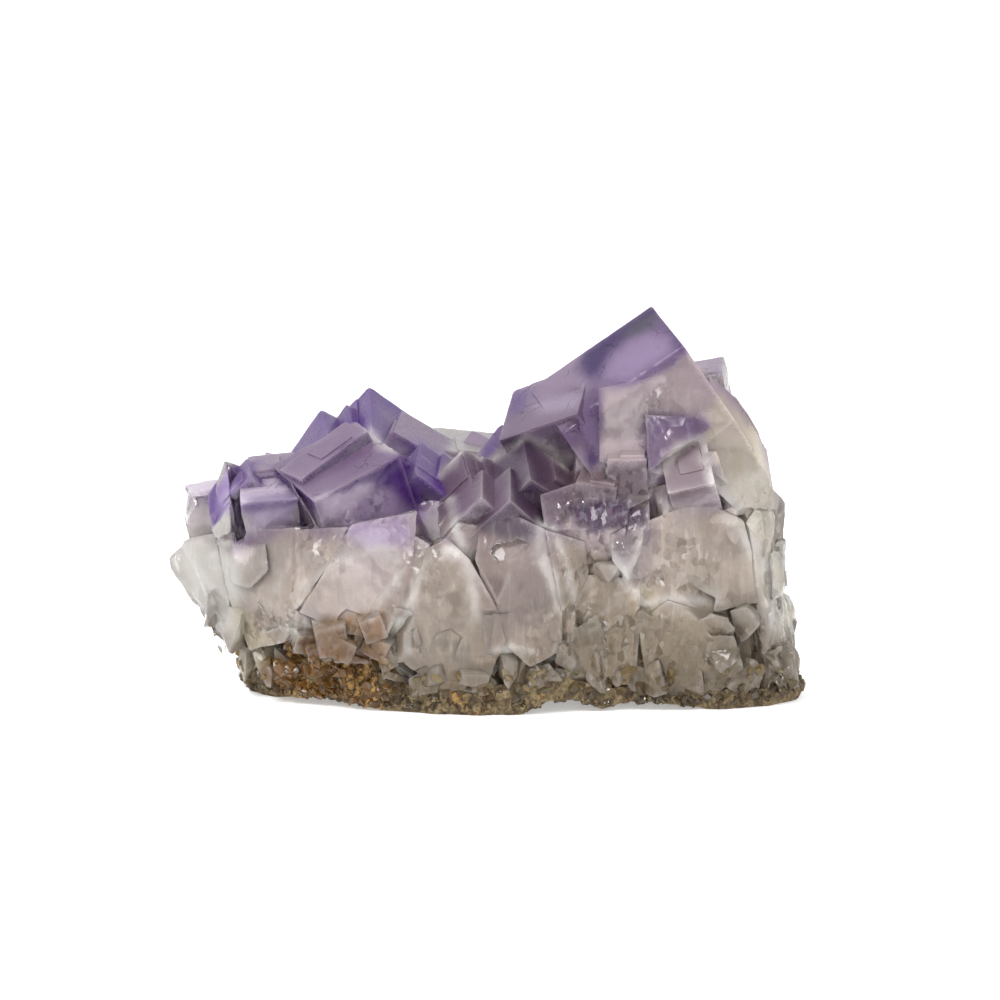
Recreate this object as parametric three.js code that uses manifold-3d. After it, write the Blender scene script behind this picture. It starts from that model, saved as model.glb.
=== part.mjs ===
// Fluorite cluster: intergrown cubes on a cleaved crystal body, with a thin crust of rusty rock under it.
// Millimetres, +Z up, front toward -Y, origin at the middle of the underside.
import * as THREE from 'three';
import { ConvexGeometry } from 'three/addons/geometries/ConvexGeometry.js';
import { mergeVertices } from 'three/addons/utils/BufferGeometryUtils.js';
import Module from 'manifold-3d';

const wasm = await Module();
wasm.setup();

// Main dimensions
const PEAK_EDGE = 14.5;
const BIG_EDGE = 9.7;
const ROOF_EDGE = 7;
const REAR_EDGE = 11;
const STAINED_EDGE = 3.1;
const CRUST_THICKNESS = 1.7;
const CRUST_CELL = 2.6;
const POCKET_HEIGHT = 4;
const GRAIN_COUNT = 16;
const STEP_COUNT = 20;
const CHIP_COUNT = 14;
const YOUNG_COUNT = 14;
const JOINT_GAP = 0.3;
const FINEST_DETAIL = 0.1;
const MIDDLE = [2, 2];

// Parts of the way round the outline that are broken rear wall and front foot
const REAR_START = 0.58;
const REAR_SHARE = 0.55;
const FOOT_START = 0.24;
const FOOT_SHARE = 0.33;

// Outline of the underside, counter-clockwise from the left rear
const outline = [
  [-24.5, 11], [-25, 5], [-23.5, -0.5], [-19, -7], [-14, -9.5], [-10, -11.2], [-5, -12.6], [-1, -13.4],
  [4, -13], [9, -11.4], [15, -10.6], [21, -10.4], [26, -9.4], [30, -5.5], [31, -1], [30.5, 6], [27, 12],
  [20, 17], [10, 18.6], [0, 20], [-9, 18.8], [-17, 17.4],
];

// Repeatable random numbers
let randomState = 20713;
function random() {
  randomState = (randomState * 1664525 + 1013904223) % 4294967296;
  return randomState / 4294967296;
}
function between(low, high) {
  return low + (high - low) * random();
}

// Geometry to a closed solid, and back
function toSolid(geometry) {
  const plain = geometry.clone();
  plain.deleteAttribute('normal');
  plain.deleteAttribute('uv');
  const merged = mergeVertices(plain, 1e-4);
  return new wasm.Manifold(new wasm.Mesh({
    numProp: 3,
    vertProperties: new Float32Array(merged.getAttribute('position').array),
    triVerts: new Uint32Array(merged.index.array),
  }));
}
function toGeometry(solid) {
  const mesh = solid.getMesh();
  const geometry = new THREE.BufferGeometry();
  geometry.setAttribute('position', new THREE.BufferAttribute(new Float32Array(mesh.vertProperties), 3));
  geometry.setIndex(new THREE.BufferAttribute(new Uint32Array(mesh.triVerts), 1));
  const faceted = geometry.toNonIndexed();
  faceted.computeVertexNormals();
  return faceted;
}
function join(solids) {
  return solids.reduce((whole, solid) => whole.add(solid));
}
function hull(points) {
  return toSolid(new ConvexGeometry(points.map((p) => new THREE.Vector3(...p))));
}

// Rotation by pitch (top toward the front), roll (top toward the right) and yaw, in degrees
function turned([pitch, roll, yaw]) {
  const [x, y, z] = [pitch, roll, yaw].map(THREE.MathUtils.degToRad);
  return new THREE.Matrix4().makeRotationFromEuler(new THREE.Euler(x, y, z, 'XYZ'));
}

// One cubic crystal hung from a corner, with a thin parallel growth layer on part of its upper face
function crystal({ at, corner = [-1, 1, 1], edges, turn, layer = 0 }) {
  const main = new THREE.BoxGeometry(...edges);
  main.translate(...edges.map((edge, i) => (-corner[i] * edge) / 2));
  const [ex, ey, ez] = edges;
  const cover = new THREE.BoxGeometry(0.62 * ex, 0.74 * ey, 0.5 * ez);
  cover.translate(-corner[0] * 0.64 * ex, -corner[1] * 0.4 * ey, -corner[2] * (0.25 * ez - layer));
  return join((layer > 0 ? [main, cover] : [main]).map((geometry) => {
    geometry.applyMatrix4(turned(turn));
    geometry.translate(...at);
    return toSolid(geometry);
  }));
}

// One convex cleavage block: an outer face and the same face moved inward and shrunk
function block({ face, inward, shrink = 0.85 }) {
  const centre = [0, 1, 2].map((k) => face.reduce((sum, p) => sum + p[k], 0) / face.length);
  const inner = face.map((p) => p.map((v, k) => centre[k] + shrink * (v - centre[k]) + inward[k]));
  return hull([...face, ...inner]);
}

// Outline scaled about the middle, as points at one height
function ring(scale, z) {
  return outline.map((point) => [...point.map((v, k) => MIDDLE[k] + scale * (v - MIDDLE[k])), z]);
}

// Point on the outline, the whole way round being 1
function onOutline(part) {
  const place = (((part % 1) + 1) % 1) * outline.length;
  const i = Math.floor(place);
  const a = outline[i];
  const b = outline[(i + 1) % outline.length];
  return a.map((v, k) => v + (place - i) * (b[k] - v));
}

// One cleavage block standing on the outline, its face looking outward
function wallBlock(part, scale, width, bottom, top) {
  const [x, y] = onOutline(part);
  const [nextX, nextY] = onOutline(part + 0.01);
  const along = new THREE.Vector2(nextX - x, nextY - y).normalize();
  const outward = [along.y, -along.x];
  const corners = 5 + Math.floor(random() * 3);
  const face = [];
  for (let k = 0; k < corners; k += 1) {
    const angle = ((k + between(-0.25, 0.25)) * 2 * Math.PI) / corners;
    const side = 0.5 * width * Math.cos(angle);
    const out = between(-0.7, 0.9);
    face.push([
      MIDDLE[0] + scale * (x - MIDDLE[0]) + side * along.x + out * outward[0],
      MIDDLE[1] + scale * (y - MIDDLE[1]) + side * along.y + out * outward[1],
      0.5 * (bottom + top) + 0.5 * (top - bottom) * Math.sin(angle),
    ]);
  }
  return block({ face, inward: [-9 * outward[0], -9 * outward[1], between(-1.5, 1)] });
}

// Height of the rock crust over the ground, and of the hollows under it
function bump(x, y, centreX, centreY, reachX, reachY) {
  const u = (x - centreX) / reachX;
  const v = (y - centreY) / reachY;
  return Math.max(0, 1 - u * u - v * v);
}
function crustFoot(x, y) {
  const left = 1.6 * bump(x, y, 7.2, -14, 3.6, 9);
  const middle = 1.1 * bump(x, y, 15.5, -13, 5, 8);
  const corner = 1.1 * bump(x, y, -18, -9.5, 8, 6);
  const rear = 1.3 * bump(x, y, -9, 21, 6, 7);
  return left + middle + corner + rear;
}
function crustTop(x, y) {
  const waves = 0.45 * Math.sin(1.3 * x + 0.7 * y) * Math.cos(1.1 * y - 0.4 * x);
  const lumps = waves + 0.3 * Math.sin(2.3 * x - 1.9 * y);
  const pocket = POCKET_HEIGHT * Math.sqrt(bump(x, y, -15.2, -7.5, 8.5, 9));
  const front = 0.8 * bump(x, y, 2, -14, 11, 6);
  const thinRight = 0.5 * Math.min(1, Math.max(0, (x - 8) / 8));
  return CRUST_THICKNESS + lumps + pocket + front - thinRight + 0.7 * crustFoot(x, y);
}

// Closed slab over a rectangle between two height functions
function slab(top, foot) {
  const start = [-33, -22];
  const countX = Math.round(66 / CRUST_CELL);
  const countY = Math.round(46 / CRUST_CELL);
  const positions = [];
  const index = [];
  for (let j = 0; j <= countY; j += 1) {
    for (let i = 0; i <= countX; i += 1) {
      const x = start[0] + i * CRUST_CELL;
      const y = start[1] + j * CRUST_CELL;
      positions.push(x, y, foot(x, y), x, y, top(x, y));
    }
  }
  const at = (i, j, upper) => 2 * (j * (countX + 1) + i) + upper;
  const quad = (a, b, c, d) => index.push(a, b, c, a, c, d);
  for (let j = 0; j < countY; j += 1) {
    for (let i = 0; i < countX; i += 1) {
      quad(at(i, j, 1), at(i + 1, j, 1), at(i + 1, j + 1, 1), at(i, j + 1, 1));
      quad(at(i, j, 0), at(i, j + 1, 0), at(i + 1, j + 1, 0), at(i + 1, j, 0));
    }
  }
  for (let i = 0; i < countX; i += 1) {
    quad(at(i, 0, 0), at(i + 1, 0, 0), at(i + 1, 0, 1), at(i, 0, 1));
    quad(at(i + 1, countY, 0), at(i, countY, 0), at(i, countY, 1), at(i + 1, countY, 1));
  }
  for (let j = 0; j < countY; j += 1) {
    quad(at(0, j + 1, 0), at(0, j, 0), at(0, j, 1), at(0, j + 1, 1));
    quad(at(countX, j, 0), at(countX, j + 1, 0), at(countX, j + 1, 1), at(countX, j, 1));
  }
  const geometry = new THREE.BufferGeometry();
  geometry.setAttribute('position', new THREE.Float32BufferAttribute(positions, 3));
  geometry.setIndex(index);
  return toSolid(geometry);
}

// Rugged upright prism over the outline, which trims the crust
function crustPlan() {
  const steps = 66;
  const shape = new THREE.Shape();
  for (let i = 0; i < steps; i += 1) {
    const [x, y] = onOutline(1 - i / steps);
    const scale = between(0.975, 1.02);
    const point = [MIDDLE[0] + scale * (x - MIDDLE[0]), MIDDLE[1] + scale * (y - MIDDLE[1])];
    if (i === 0) {
      shape.moveTo(...point);
    } else {
      shape.lineTo(...point);
    }
  }
  shape.closePath();
  const geometry = new THREE.ExtrudeGeometry(shape, { depth: 16, bevelEnabled: false });
  geometry.translate(0, 0, -2);
  return toSolid(geometry);
}

// Inner mass that all crystals grow from
const body = [
  hull([...ring(0.84, 0.4), ...ring(0.9, 8), ...ring(0.86, 14), ...ring(0.62, 20)]),
  hull([[7, -9, 12], [27, -6, 12], [28, 6, 14], [20, 13, 14], [5, 12, 14], [9, -8, 26], [22, -5, 31],
    [25, -3, 25], [24, 5, 26], [15, 10, 27], [8, 6, 27], [15, -4, 34], [20, 1, 32]]),
  hull([[-22, -4, 12], [-8, -10, 12], [-22, 14, 10], [-4, 15, 12], [-18, -3, 20], [-9, -6, 22],
    [-16, 12, 23], [-8, 13, 24], [-6, 2, 23]]),
];

// Cleavage faces of the broken front wall, from left to right and then upward on the right
const frontBlocks = [
  { face: [[-31.4, 0, 13.2], [-30.1, -3, 15.6], [-26.7, -5, 16.6], [-25.4, -5, 10], [-25, -3, 4.4],
    [-28, 0, 6.6], [-29.8, 1, 9]], inward: [7, 8, 1] },
  { face: [[-25.7, -5, 23.8], [-24.6, -5.2, 21.8], [-24, -5.4, 19.8], [-23.6, -5.5, 17.6],
    [-25.6, -5.2, 17], [-26.6, -4.8, 20.8]], inward: [1.5, 3.5, -0.5] },
  { face: [[-26.6, -5.5, 16.7], [-18.1, -9.6, 17.9], [-18.1, -11, 9.6], [-19.6, -10, 6.6], [-23.3, -6, 5.1],
    [-25.4, -5, 10]], inward: [4, 9, 0] },
  { face: [[-18.7, -9.4, 17.6], [-13.2, -12.8, 18.4], [-15, -13.2, 15], [-18.1, -12, 10.4],
    [-19.4, -9.8, 9.2]], inward: [1, 8, 0] },
  { face: [[-13, -12.8, 18.6], [-6.6, -12, 19.8], [-7.5, -13.8, 11.5], [-9.8, -13.8, 7.5],
    [-13.6, -13.4, 8.1], [-18.1, -12, 9.9], [-15, -13.3, 15]], inward: [0, 10, 0] },
  { face: [[-7, -12.3, 17.5], [-5.4, -13, 16.7], [-7.5, -14.2, 11.5], [-8.1, -13.6, 5.2], [-10.5, -12, 4.9],
    [-9.1, -13, 11.3]], inward: [1, 9, 0] },
  { face: [[-3.8, -13.2, 17.4], [-1.6, -14, 15.4], [1.1, -15.2, 10.7], [1.8, -15, 7.8], [0.3, -13.8, 3.6],
    [-5.4, -13.6, 3.2], [-8.1, -13.6, 5.2], [-7.5, -14.2, 11.5], [-5.6, -13.4, 16.4]], inward: [1, 9, 0] },
  { face: [[-0.6, -13.2, 18.9], [3.2, -14.3, 19.5], [5.9, -14.4, 18.3], [8, -12.8, 16.6], [7.3, -13.8, 11.4],
    [7.3, -13.3, 6.5], [4.2, -13.8, 4.8], [1.8, -14.6, 7.2], [1, -15, 11.6], [-1.1, -13.8, 15.3]],
    inward: [0, 10, 0] },
  { face: [[5.6, -14.8, 18.4], [9.5, -12.6, 16.9], [9.8, -12.2, 13.6], [8.5, -12.8, 10.9],
    [7.1, -14.2, 10.3]], inward: [1, 8, 0] },
  { face: [[8, -11.8, 13.8], [14.8, -12, 13.1], [14.8, -12.4, 8.8], [14.4, -11.6, 4], [10.2, -11.4, 3.2],
    [7.7, -12.6, 7.3]], inward: [0, 9, 0] },
  { face: [[14.6, -12.4, 9], [17.5, -11.8, 11.1], [23.4, -11.2, 9.2], [25, -10.4, 4.2], [22.2, -10, 1.2],
    [15.7, -10.8, 1.9]], inward: [0, 9, 0] },
  { face: [[12.9, -12, 15], [14.8, -11.6, 18.5], [20.6, -10.6, 20.7], [25, -9.2, 18.5], [26.8, -9, 10.6],
    [20.7, -11, 9.4], [16.3, -11.8, 9.9], [13.4, -12, 11.1]], inward: [0, 9, 0] },
  { face: [[25.1, -8.8, 19.6], [27.5, -6.5, 19.6], [28.9, -4, 15.8], [29.6, -3, 9.6], [31.2, -3, 4.6],
    [30.7, -4, 1], [27.3, -8.5, 0.8], [27.4, -9, 6.7], [26, -9.4, 14.6]], inward: [-4, 9, 0] },
  { face: [[10.8, -8.8, 31.3], [14.8, -8.4, 31.9], [19.2, -8, 33], [21.4, -7.4, 32], [23.2, -7.4, 29.6],
    [20.7, -10, 22.6], [15.8, -10.6, 23.3], [10.9, -10.2, 24.3]], inward: [0, 8, -1] },
  { face: [[21.6, -8, 32.4], [24.3, -7, 30.2], [27.2, -6, 25.8], [28.3, -6, 19.3], [24.7, -9.8, 19.7],
    [20.7, -10.8, 22.3]], inward: [-2, 9, -2] },
  { face: [[15.3, -11.2, 29], [20, -10.2, 28.7], [21.7, -9.6, 27.8], [20.5, -11, 26.8],
    [17.8, -12, 25.9], [15.5, -12, 23.6]], inward: [0, 5, -0.5] },
  { face: [[21.2, -10.8, 24.8], [21.9, -10.6, 24.4], [25.3, -9.6, 20], [24.3, -10, 19.4],
    [22.1, -10.8, 21.7]], inward: [-1, 5, 0] },
  { face: [[11.9, -12.8, 17.6], [13.8, -12.4, 18.6], [15.3, -12, 18], [14.8, -12.6, 15.6],
    [13.6, -13.6, 13.2], [12.1, -13.2, 15.2]], inward: [-0.5, 4, 0.5] },
  { face: [[5.1, -11.5, 21.3], [9.5, -10.5, 22.6], [15.8, -11, 21.7], [15.7, -12.2, 18], [11.9, -11.6, 15],
    [7.1, -11.6, 14], [5.6, -12.6, 18.1]], inward: [0, 6, 0] },
].map(block);

// Cubes of the growth side: those of the front rim, then those of the middle and the rear
const crystals = [
  { at: [-8.4, -9, 24.8], corner: [1, -1, 1], edges: [BIG_EDGE, BIG_EDGE, 7.6], turn: [24, -15, 29] },
  { at: [-11.6, -5.6, 26.8], corner: [1, -1, 1], edges: [8.6, 4, 8], turn: [24, -20, 38] },
  { at: [-18.3, -8.5, 20.6], corner: [1, -1, 1], edges: [5.6, 5.2, 5], turn: [21, -3, 4] },
  { at: [-18.6, -4.6, 22.8], corner: [1, -1, 1], edges: [4.6, 5.2, 7], turn: [14, -4, 6], layer: 0.4 },
  { at: [-23.6, -3, 23.8], edges: [4.2, 4, 6], turn: [14, 42, 10] },
  { at: [-30.1, -2, 19.8], corner: [-1, -1, 1], edges: [5.4, 6, 6.2], turn: [4, -7, 3], layer: 0.4 },
  { at: [2.3, -14.5, 21.2], corner: [-1, -1, 1], edges: Array(3).fill(ROOF_EDGE), turn: [20, 46, 0] },
  { at: [-0.4, -13.5, 21.3], corner: [-1, -1, 1], edges: [6, 6, 6], turn: [20, 46, 0] },
  { at: [3.3, -4, 27.2], edges: [9.5, 9, 9], turn: [24, 40, 8], layer: 0.5 },
  { at: [-2.4, -5, 24.9], edges: [6.5, 6, 6.5], turn: [26, 40, 16], layer: 0.5 },
  { at: [-6.5, -1, 25.1], edges: [7, 6.5, 7], turn: [24, 36, -6], layer: 0.5 },
  { at: [-12.1, 14, 29], edges: [REAR_EDGE, REAR_EDGE, REAR_EDGE], turn: [20, 40, 4] },
  { at: [-17, 12, 26.9], edges: [8, 8, 9], turn: [14, 34, 12] },
  { at: [-8.7, 12, 26.8], edges: [8, 8, 9], turn: [12, 30, -6] },
  { at: [-5.6, 16, 24.6], edges: [11, 9, 9], turn: [8, 7, 4] },
  { at: [17.4, -13, 21.6], corner: [-1, -1, 1], edges: [4.6, 6.4, 5], turn: [50, -12, 8] },
  { at: [11.6, -11.6, 24.8], corner: [-1, -1, 1], edges: [3.8, 5, 4.6], turn: [10, -2, -4], layer: 0.3 },
  { at: [8.6, -11.4, 22.6], corner: [-1, -1, 1], edges: [4, 4, 4], turn: [16, 4, -12], layer: 0.3 },
  { at: [23.4, 3, 31.8], corner: [1, -1, 1], edges: [5, 5, 5.4], turn: [10, -12, -6] },
  { at: [26.8, 0, 19.6], corner: [1, -1, 1], edges: [5, 7, 6], turn: [-4, 10, 6], layer: 0.5 },
  { at: [2.6, 1, 30], edges: [9, 8, 9], turn: [26, -30, -12], corner: [-1, 1, 1] },
  { at: [9, 5, 30.4], edges: [10, 10, 11], turn: [20, 30, -20], layer: 0.5 },
  { at: [15.6, 8, 32], edges: [9, 9, 11], turn: [-16, 36, 20], layer: 0.5 },
  { at: [-20, 3, 21.8], edges: [7, 7, 8], turn: [12, 26, 50], layer: 0.5 },
  { at: [-13.4, 3, 25.6], edges: [7, 8, 8], turn: [-14, 34, 24], layer: 0.5 },
  { at: [-25.6, 8, 20], edges: [7.4, 7.4, 8], turn: [-10, 14, 24], layer: 0.5 },
  { at: [-21, 12.6, 20.4], edges: [8, 7, 8], turn: [-20, 24, -12], layer: 0.5 },
  { at: [1.4, 7, 26], edges: [8.4, 8, 9], turn: [-10, 38, 30], layer: 0.5 },
  { at: [6.5, 13, 25], edges: [9.4, 9, 9], turn: [-24, 26, 8], layer: 0.5 },
  { at: [0.6, 17, 20.4], edges: [7.6, 7.6, 8], turn: [-26, 34, -20], layer: 0.5 },
  { at: [15, 14, 26], edges: [9, 9, 10], turn: [-22, 40, 30], layer: 0.5 },
  { at: [21.4, 8, 26], corner: [1, 1, 1], edges: [8.4, 9, 9], turn: [-20, 14, 30], layer: 0.5 },
  { at: [-13, 19, 20], edges: [7, 7, 7], turn: [-30, 30, 40], layer: 0.5 },
  { at: [26, 13.5, 18.4], corner: [1, 1, 1], edges: [8, 8, 8], turn: [-26, 10, -14], layer: 0.5 },
].map(crystal);

// Peak cube, its front corner split off along a cleavage plane
const peakCube = crystal({
  at: [16.2, -1, 38.6],
  corner: [1, -1, 1],
  edges: [PEAK_EDGE, PEAK_EDGE, PEAK_EDGE],
  turn: [-64, -21, -28],
}).trimByPlane([0.1, 1, -0.25], -14.1);

// Small brown-stained cubes over the rusty pocket at the lower left
const stainedCubes = [
  { at: [-12.2, -13.4, 9.6], turn: [6, 14, 30] },
  { at: [-15.6, -13.4, 9], turn: [14, 8, 12] },
  { at: [-18.6, -11.8, 8.2], turn: [10, -16, 26] },
  { at: [-13.9, -13.5, 6.4], turn: [24, 30, 8] },
  { at: [-9.6, -13.2, 4.4], turn: [-6, 22, 40] },
].map(({ at, turn }) => crystal({
  at,
  corner: [-1, -1, 1],
  edges: [STAINED_EDGE, STAINED_EDGE, 1.3 * STAINED_EDGE],
  turn,
}));

// Cleavage blocks: a low row and a tall row round the sides and the rear, small ones along the front foot
const wallBlocks = [];
for (let i = 0; i < 15; i += 1) {
  const part = REAR_START + (i + between(-0.2, 0.2)) * (REAR_SHARE / 14);
  wallBlocks.push(wallBlock(part, between(0.92, 0.98), between(6, 9), 0.8, between(9, 13)));
}
for (let i = 0; i < 12; i += 1) {
  const part = REAR_START + (i + between(-0.2, 0.2)) * (REAR_SHARE / 11);
  const rise = onOutline(part)[0] > 8 ? 3 : 0;
  wallBlocks.push(wallBlock(part, between(0.86, 0.94), between(6, 10), 7, between(16, 19) + rise));
}
for (let i = 0; i < 13; i += 1) {
  const part = FOOT_START + (i + between(-0.3, 0.3)) * (FOOT_SHARE / 12);
  wallBlocks.push(wallBlock(part, between(0.94, 1.02), between(2.4, 4.4), 1, between(4, 7.5)));
}

// Pieces set where a straight line from outside first meets the cluster
const caster = new THREE.Raycaster();
function firstHit(mesh, origin, direction) {
  caster.set(new THREE.Vector3(...origin), new THREE.Vector3(...direction).normalize());
  return caster.intersectObject(mesh)[0];
}
function plate(hit, width, thickness, tilt) {
  const points = [];
  const corners = 4 + Math.floor(random() * 3);
  const stretch = between(1, 1.9);
  const lean = between(0.5, 1) * tilt;
  for (let k = 0; k < 2 * corners; k += 1) {
    const angle = ((k % corners) + between(-0.3, 0.3)) * ((2 * Math.PI) / corners);
    const reach = 0.5 * width * (k < corners ? 1 : 0.8);
    const level = (k < corners ? -1 : 1) * thickness;
    points.push([reach * Math.cos(angle), stretch * reach * Math.sin(angle), level]);
  }
  const flat = new ConvexGeometry(points.map((p) => new THREE.Vector3(...p)));
  flat.rotateZ(between(0, Math.PI));
  flat.rotateX(THREE.MathUtils.degToRad(lean));
  flat.rotateZ(between(0, 2 * Math.PI));
  const outward = new THREE.Vector3(0, 0, 1);
  flat.applyQuaternion(new THREE.Quaternion().setFromUnitVectors(outward, hit.face.normal));
  flat.translate(hit.point.x, hit.point.y, hit.point.z);
  return toSolid(flat);
}
function scatterOnWalls(mesh, count, lowest, highest, [narrowest, widest], thickness, tilt) {
  const pieces = [];
  for (let i = 0; i < count; i += 1) {
    const angle = between(0, 2 * Math.PI);
    const z = between(lowest, highest);
    const origin = [MIDDLE[0] + 60 * Math.cos(angle), MIDDLE[1] + 60 * Math.sin(angle), z];
    const target = [MIDDLE[0] - origin[0] + between(-14, 14), MIDDLE[1] - origin[1] + between(-5, 5), 0];
    const hit = firstHit(mesh, origin, target);
    const width = between(narrowest, widest);
    if (hit && Math.abs(hit.face.normal.z) < 0.6) {
      pieces.push(plate(hit, width, thickness, tilt));
    }
  }
  return pieces;
}
function scatterOnTop(mesh, count) {
  const pieces = [];
  for (let i = 0; i < count; i += 1) {
    const x = between(-26, 28);
    const y = between(1, 17);
    const edge = between(2.4, 4.6);
    const turn = [between(-35, 35), between(-35, 35), between(0, 90)];
    const hit = firstHit(mesh, [x, y, 60], [0, 0, -1]);
    if (hit && hit.point.z < (x < -10 ? 18 : 22)) {
      const at = [hit.point.x, hit.point.y, hit.point.z + 0.3 * edge];
      pieces.push(crystal({ at, corner: [0.2, 0.2, 1], edges: [edge, edge, 1.4 * edge], turn }));
    }
  }
  return pieces;
}

// Coarse grains that stand out of the rusty pocket
const grains = [];
const grainRoom = [];
for (let i = 0; i < GRAIN_COUNT; i += 1) {
  const [x, y] = onOutline(between(0.11, 0.235));
  const size = [between(1.2, 2.4), between(1, 1.8), between(1, 2)];
  const turn = [between(-40, 40), between(-40, 40), between(0, 90)];
  const centre = [x, y + between(0, 0.6), between(1.6, crustTop(x, y) - 0.2)];
  const grain = new THREE.BoxGeometry(...size);
  const room = new THREE.BoxGeometry(...size.map((v) => v + 2 * JOINT_GAP));
  [grain, room].forEach((geometry) => geometry.applyMatrix4(turned(turn)).translate(...centre));
  grains.push(toSolid(grain));
  grainRoom.push(toSolid(room));
}

// Crust, and the room it takes out of the crystal mass with a fine joint between them
const crust = join([slab(crustTop, crustFoot).intersect(crustPlan()), ...grains]).simplify(FINEST_DETAIL);
const crustRoom = slab((x, y) => crustTop(x, y) + JOINT_GAP, () => -12);

// Crystal mass: everything grown together, then stepped and chipped along its broken walls
const rough = join([...body, ...frontBlocks, ...wallBlocks, ...crystals, peakCube]);
const roughMesh = new THREE.Mesh(toGeometry(rough));
const steps = scatterOnWalls(roughMesh, STEP_COUNT, 3, 20, [3.5, 6], 0.12, 16);
const chips = scatterOnWalls(roughMesh, CHIP_COUNT, 2, 22, [3, 5.5], 0.3, 34);
const youngCubes = scatterOnTop(roughMesh, YOUNG_COUNT);
const fluorite = join([rough, ...stainedCubes, ...steps, ...youngCubes])
  .subtract(join([...chips, ...grainRoom, crustRoom]))
  .simplify(FINEST_DETAIL)
  .decompose()
  .reduce((a, b) => (a.volume() > b.volume() ? a : b));

// Whole cluster moved so that the middle of its bounds is over the origin
const bounds = new THREE.Box3()
  .setFromBufferAttribute(toGeometry(fluorite).getAttribute('position'))
  .union(new THREE.Box3().setFromBufferAttribute(toGeometry(crust).getAttribute('position')));
const middle = bounds.getCenter(new THREE.Vector3());
const placed = (solid) => toGeometry(solid.translate([-middle.x, -middle.y, -bounds.min.z]));

// Materials and named meshes
const fluoriteMaterial = new THREE.MeshStandardMaterial({
  color: 0xb9a9cf,
  roughness: 0.3,
  metalness: 0,
  flatShading: true,
});
const rockMaterial = new THREE.MeshStandardMaterial({
  color: 0x6b4a26,
  roughness: 0.95,
  metalness: 0,
  flatShading: true,
});
const fluoriteMesh = new THREE.Mesh(placed(fluorite), fluoriteMaterial);
fluoriteMesh.name = 'fluorite_crystals';
const rockMesh = new THREE.Mesh(placed(crust), rockMaterial);
rockMesh.name = 'rock_matrix';

const cluster = new THREE.Group();
cluster.name = 'fluorite_cluster';
cluster.add(fluoriteMesh, rockMesh);

export default cluster;
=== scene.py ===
"""Fluorite cluster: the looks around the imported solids. Metres, +Z up, front toward -Y."""
import math

import bmesh
import bpy
import numpy as np
from mathutils import Matrix, Vector
from mathutils.bvhtree import BVHTree

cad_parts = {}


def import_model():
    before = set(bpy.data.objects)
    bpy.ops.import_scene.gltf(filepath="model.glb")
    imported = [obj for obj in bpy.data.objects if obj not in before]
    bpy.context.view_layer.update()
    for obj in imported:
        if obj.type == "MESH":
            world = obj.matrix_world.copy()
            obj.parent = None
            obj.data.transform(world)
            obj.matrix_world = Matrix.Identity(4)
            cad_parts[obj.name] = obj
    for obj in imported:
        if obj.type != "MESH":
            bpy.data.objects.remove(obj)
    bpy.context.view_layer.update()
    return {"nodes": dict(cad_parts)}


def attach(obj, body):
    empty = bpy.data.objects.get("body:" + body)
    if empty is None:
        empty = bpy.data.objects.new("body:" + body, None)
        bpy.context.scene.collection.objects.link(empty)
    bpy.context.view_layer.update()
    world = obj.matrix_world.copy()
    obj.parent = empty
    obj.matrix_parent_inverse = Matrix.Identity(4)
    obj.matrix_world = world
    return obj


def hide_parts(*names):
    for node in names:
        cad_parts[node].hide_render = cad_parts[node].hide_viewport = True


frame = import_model()

MM = 0.001

# The tables below give places in millimetres in the frame that the crystals were laid out in,
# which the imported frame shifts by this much
LAYOUT_SHIFT = Vector((0.1, -2.867, 0.0))

# Longest mesh edges at the front, at the rear and on the rock, in millimetres
FRONT_EDGE = 0.42
REAR_EDGE = 0.75
ROCK_EDGE = 0.5
FRONT_DEPTH = -3.0
# How far the rock's top rises to meet the crystals, in millimetres
ROCK_RISE = 0.7
# Most triangles of the crystal mass, and the vertices under which a loose bit is dropped
MOST_FACES = 195000
CRUMB = 30
CRISP_ANGLE = math.radians(32)
# Bends in degrees: flatter edges settle, sharper ones wear round
FLAT_BEND = 24
SHARP_BEND = 115
# Random draws of the crystal detail and of the grains
CRYSTAL_SEED = 41
GRAIN_SEED = 7
# Distance in millimetres from which lines of sight start toward the object
OUTSIDE = 70
# Across and spread of the rusty pocket at the front left, in millimetres
POCKET_MIDDLE = -15.4
POCKET_SPREAD = 3.2

# Colours as they look, from 0 to 255 in red, green and blue
DEEP = (84, 46, 124)
# Body colour where thick, and where thin with painted glow of light shining through
THICK_BODY = (166, 152, 143)
THIN_GLOW_BODY = (228, 226, 217)
LOW_BODY = (142, 121, 84)
TOP_BODY = (184, 166, 180)
# Painted highlight on convex ridges
RIDGE_HIGHLIGHT = (214, 208, 206)
# Painted highlight along the front's cleavage edges
EDGE_HIGHLIGHT_TONE = (232, 228, 224)
DIRT_AND_CREASE_SHADE = (96, 78, 66)
# Dirt low down, and painted shade in creases
DARK_GRAIN = (84, 68, 44)
TOP_GRAIN = (172, 154, 118)
RUST_GRAIN = (142, 92, 22)
FACES = {
    "lilac": (138, 121, 144),
    "mauve": (112, 89, 122),
    "pale mauve": (200, 186, 204),
    "plum": (94, 72, 95),
    "violet": (84, 46, 128),
    "grey": (140, 124, 130),
    "clear": (166, 163, 158),
}

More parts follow.
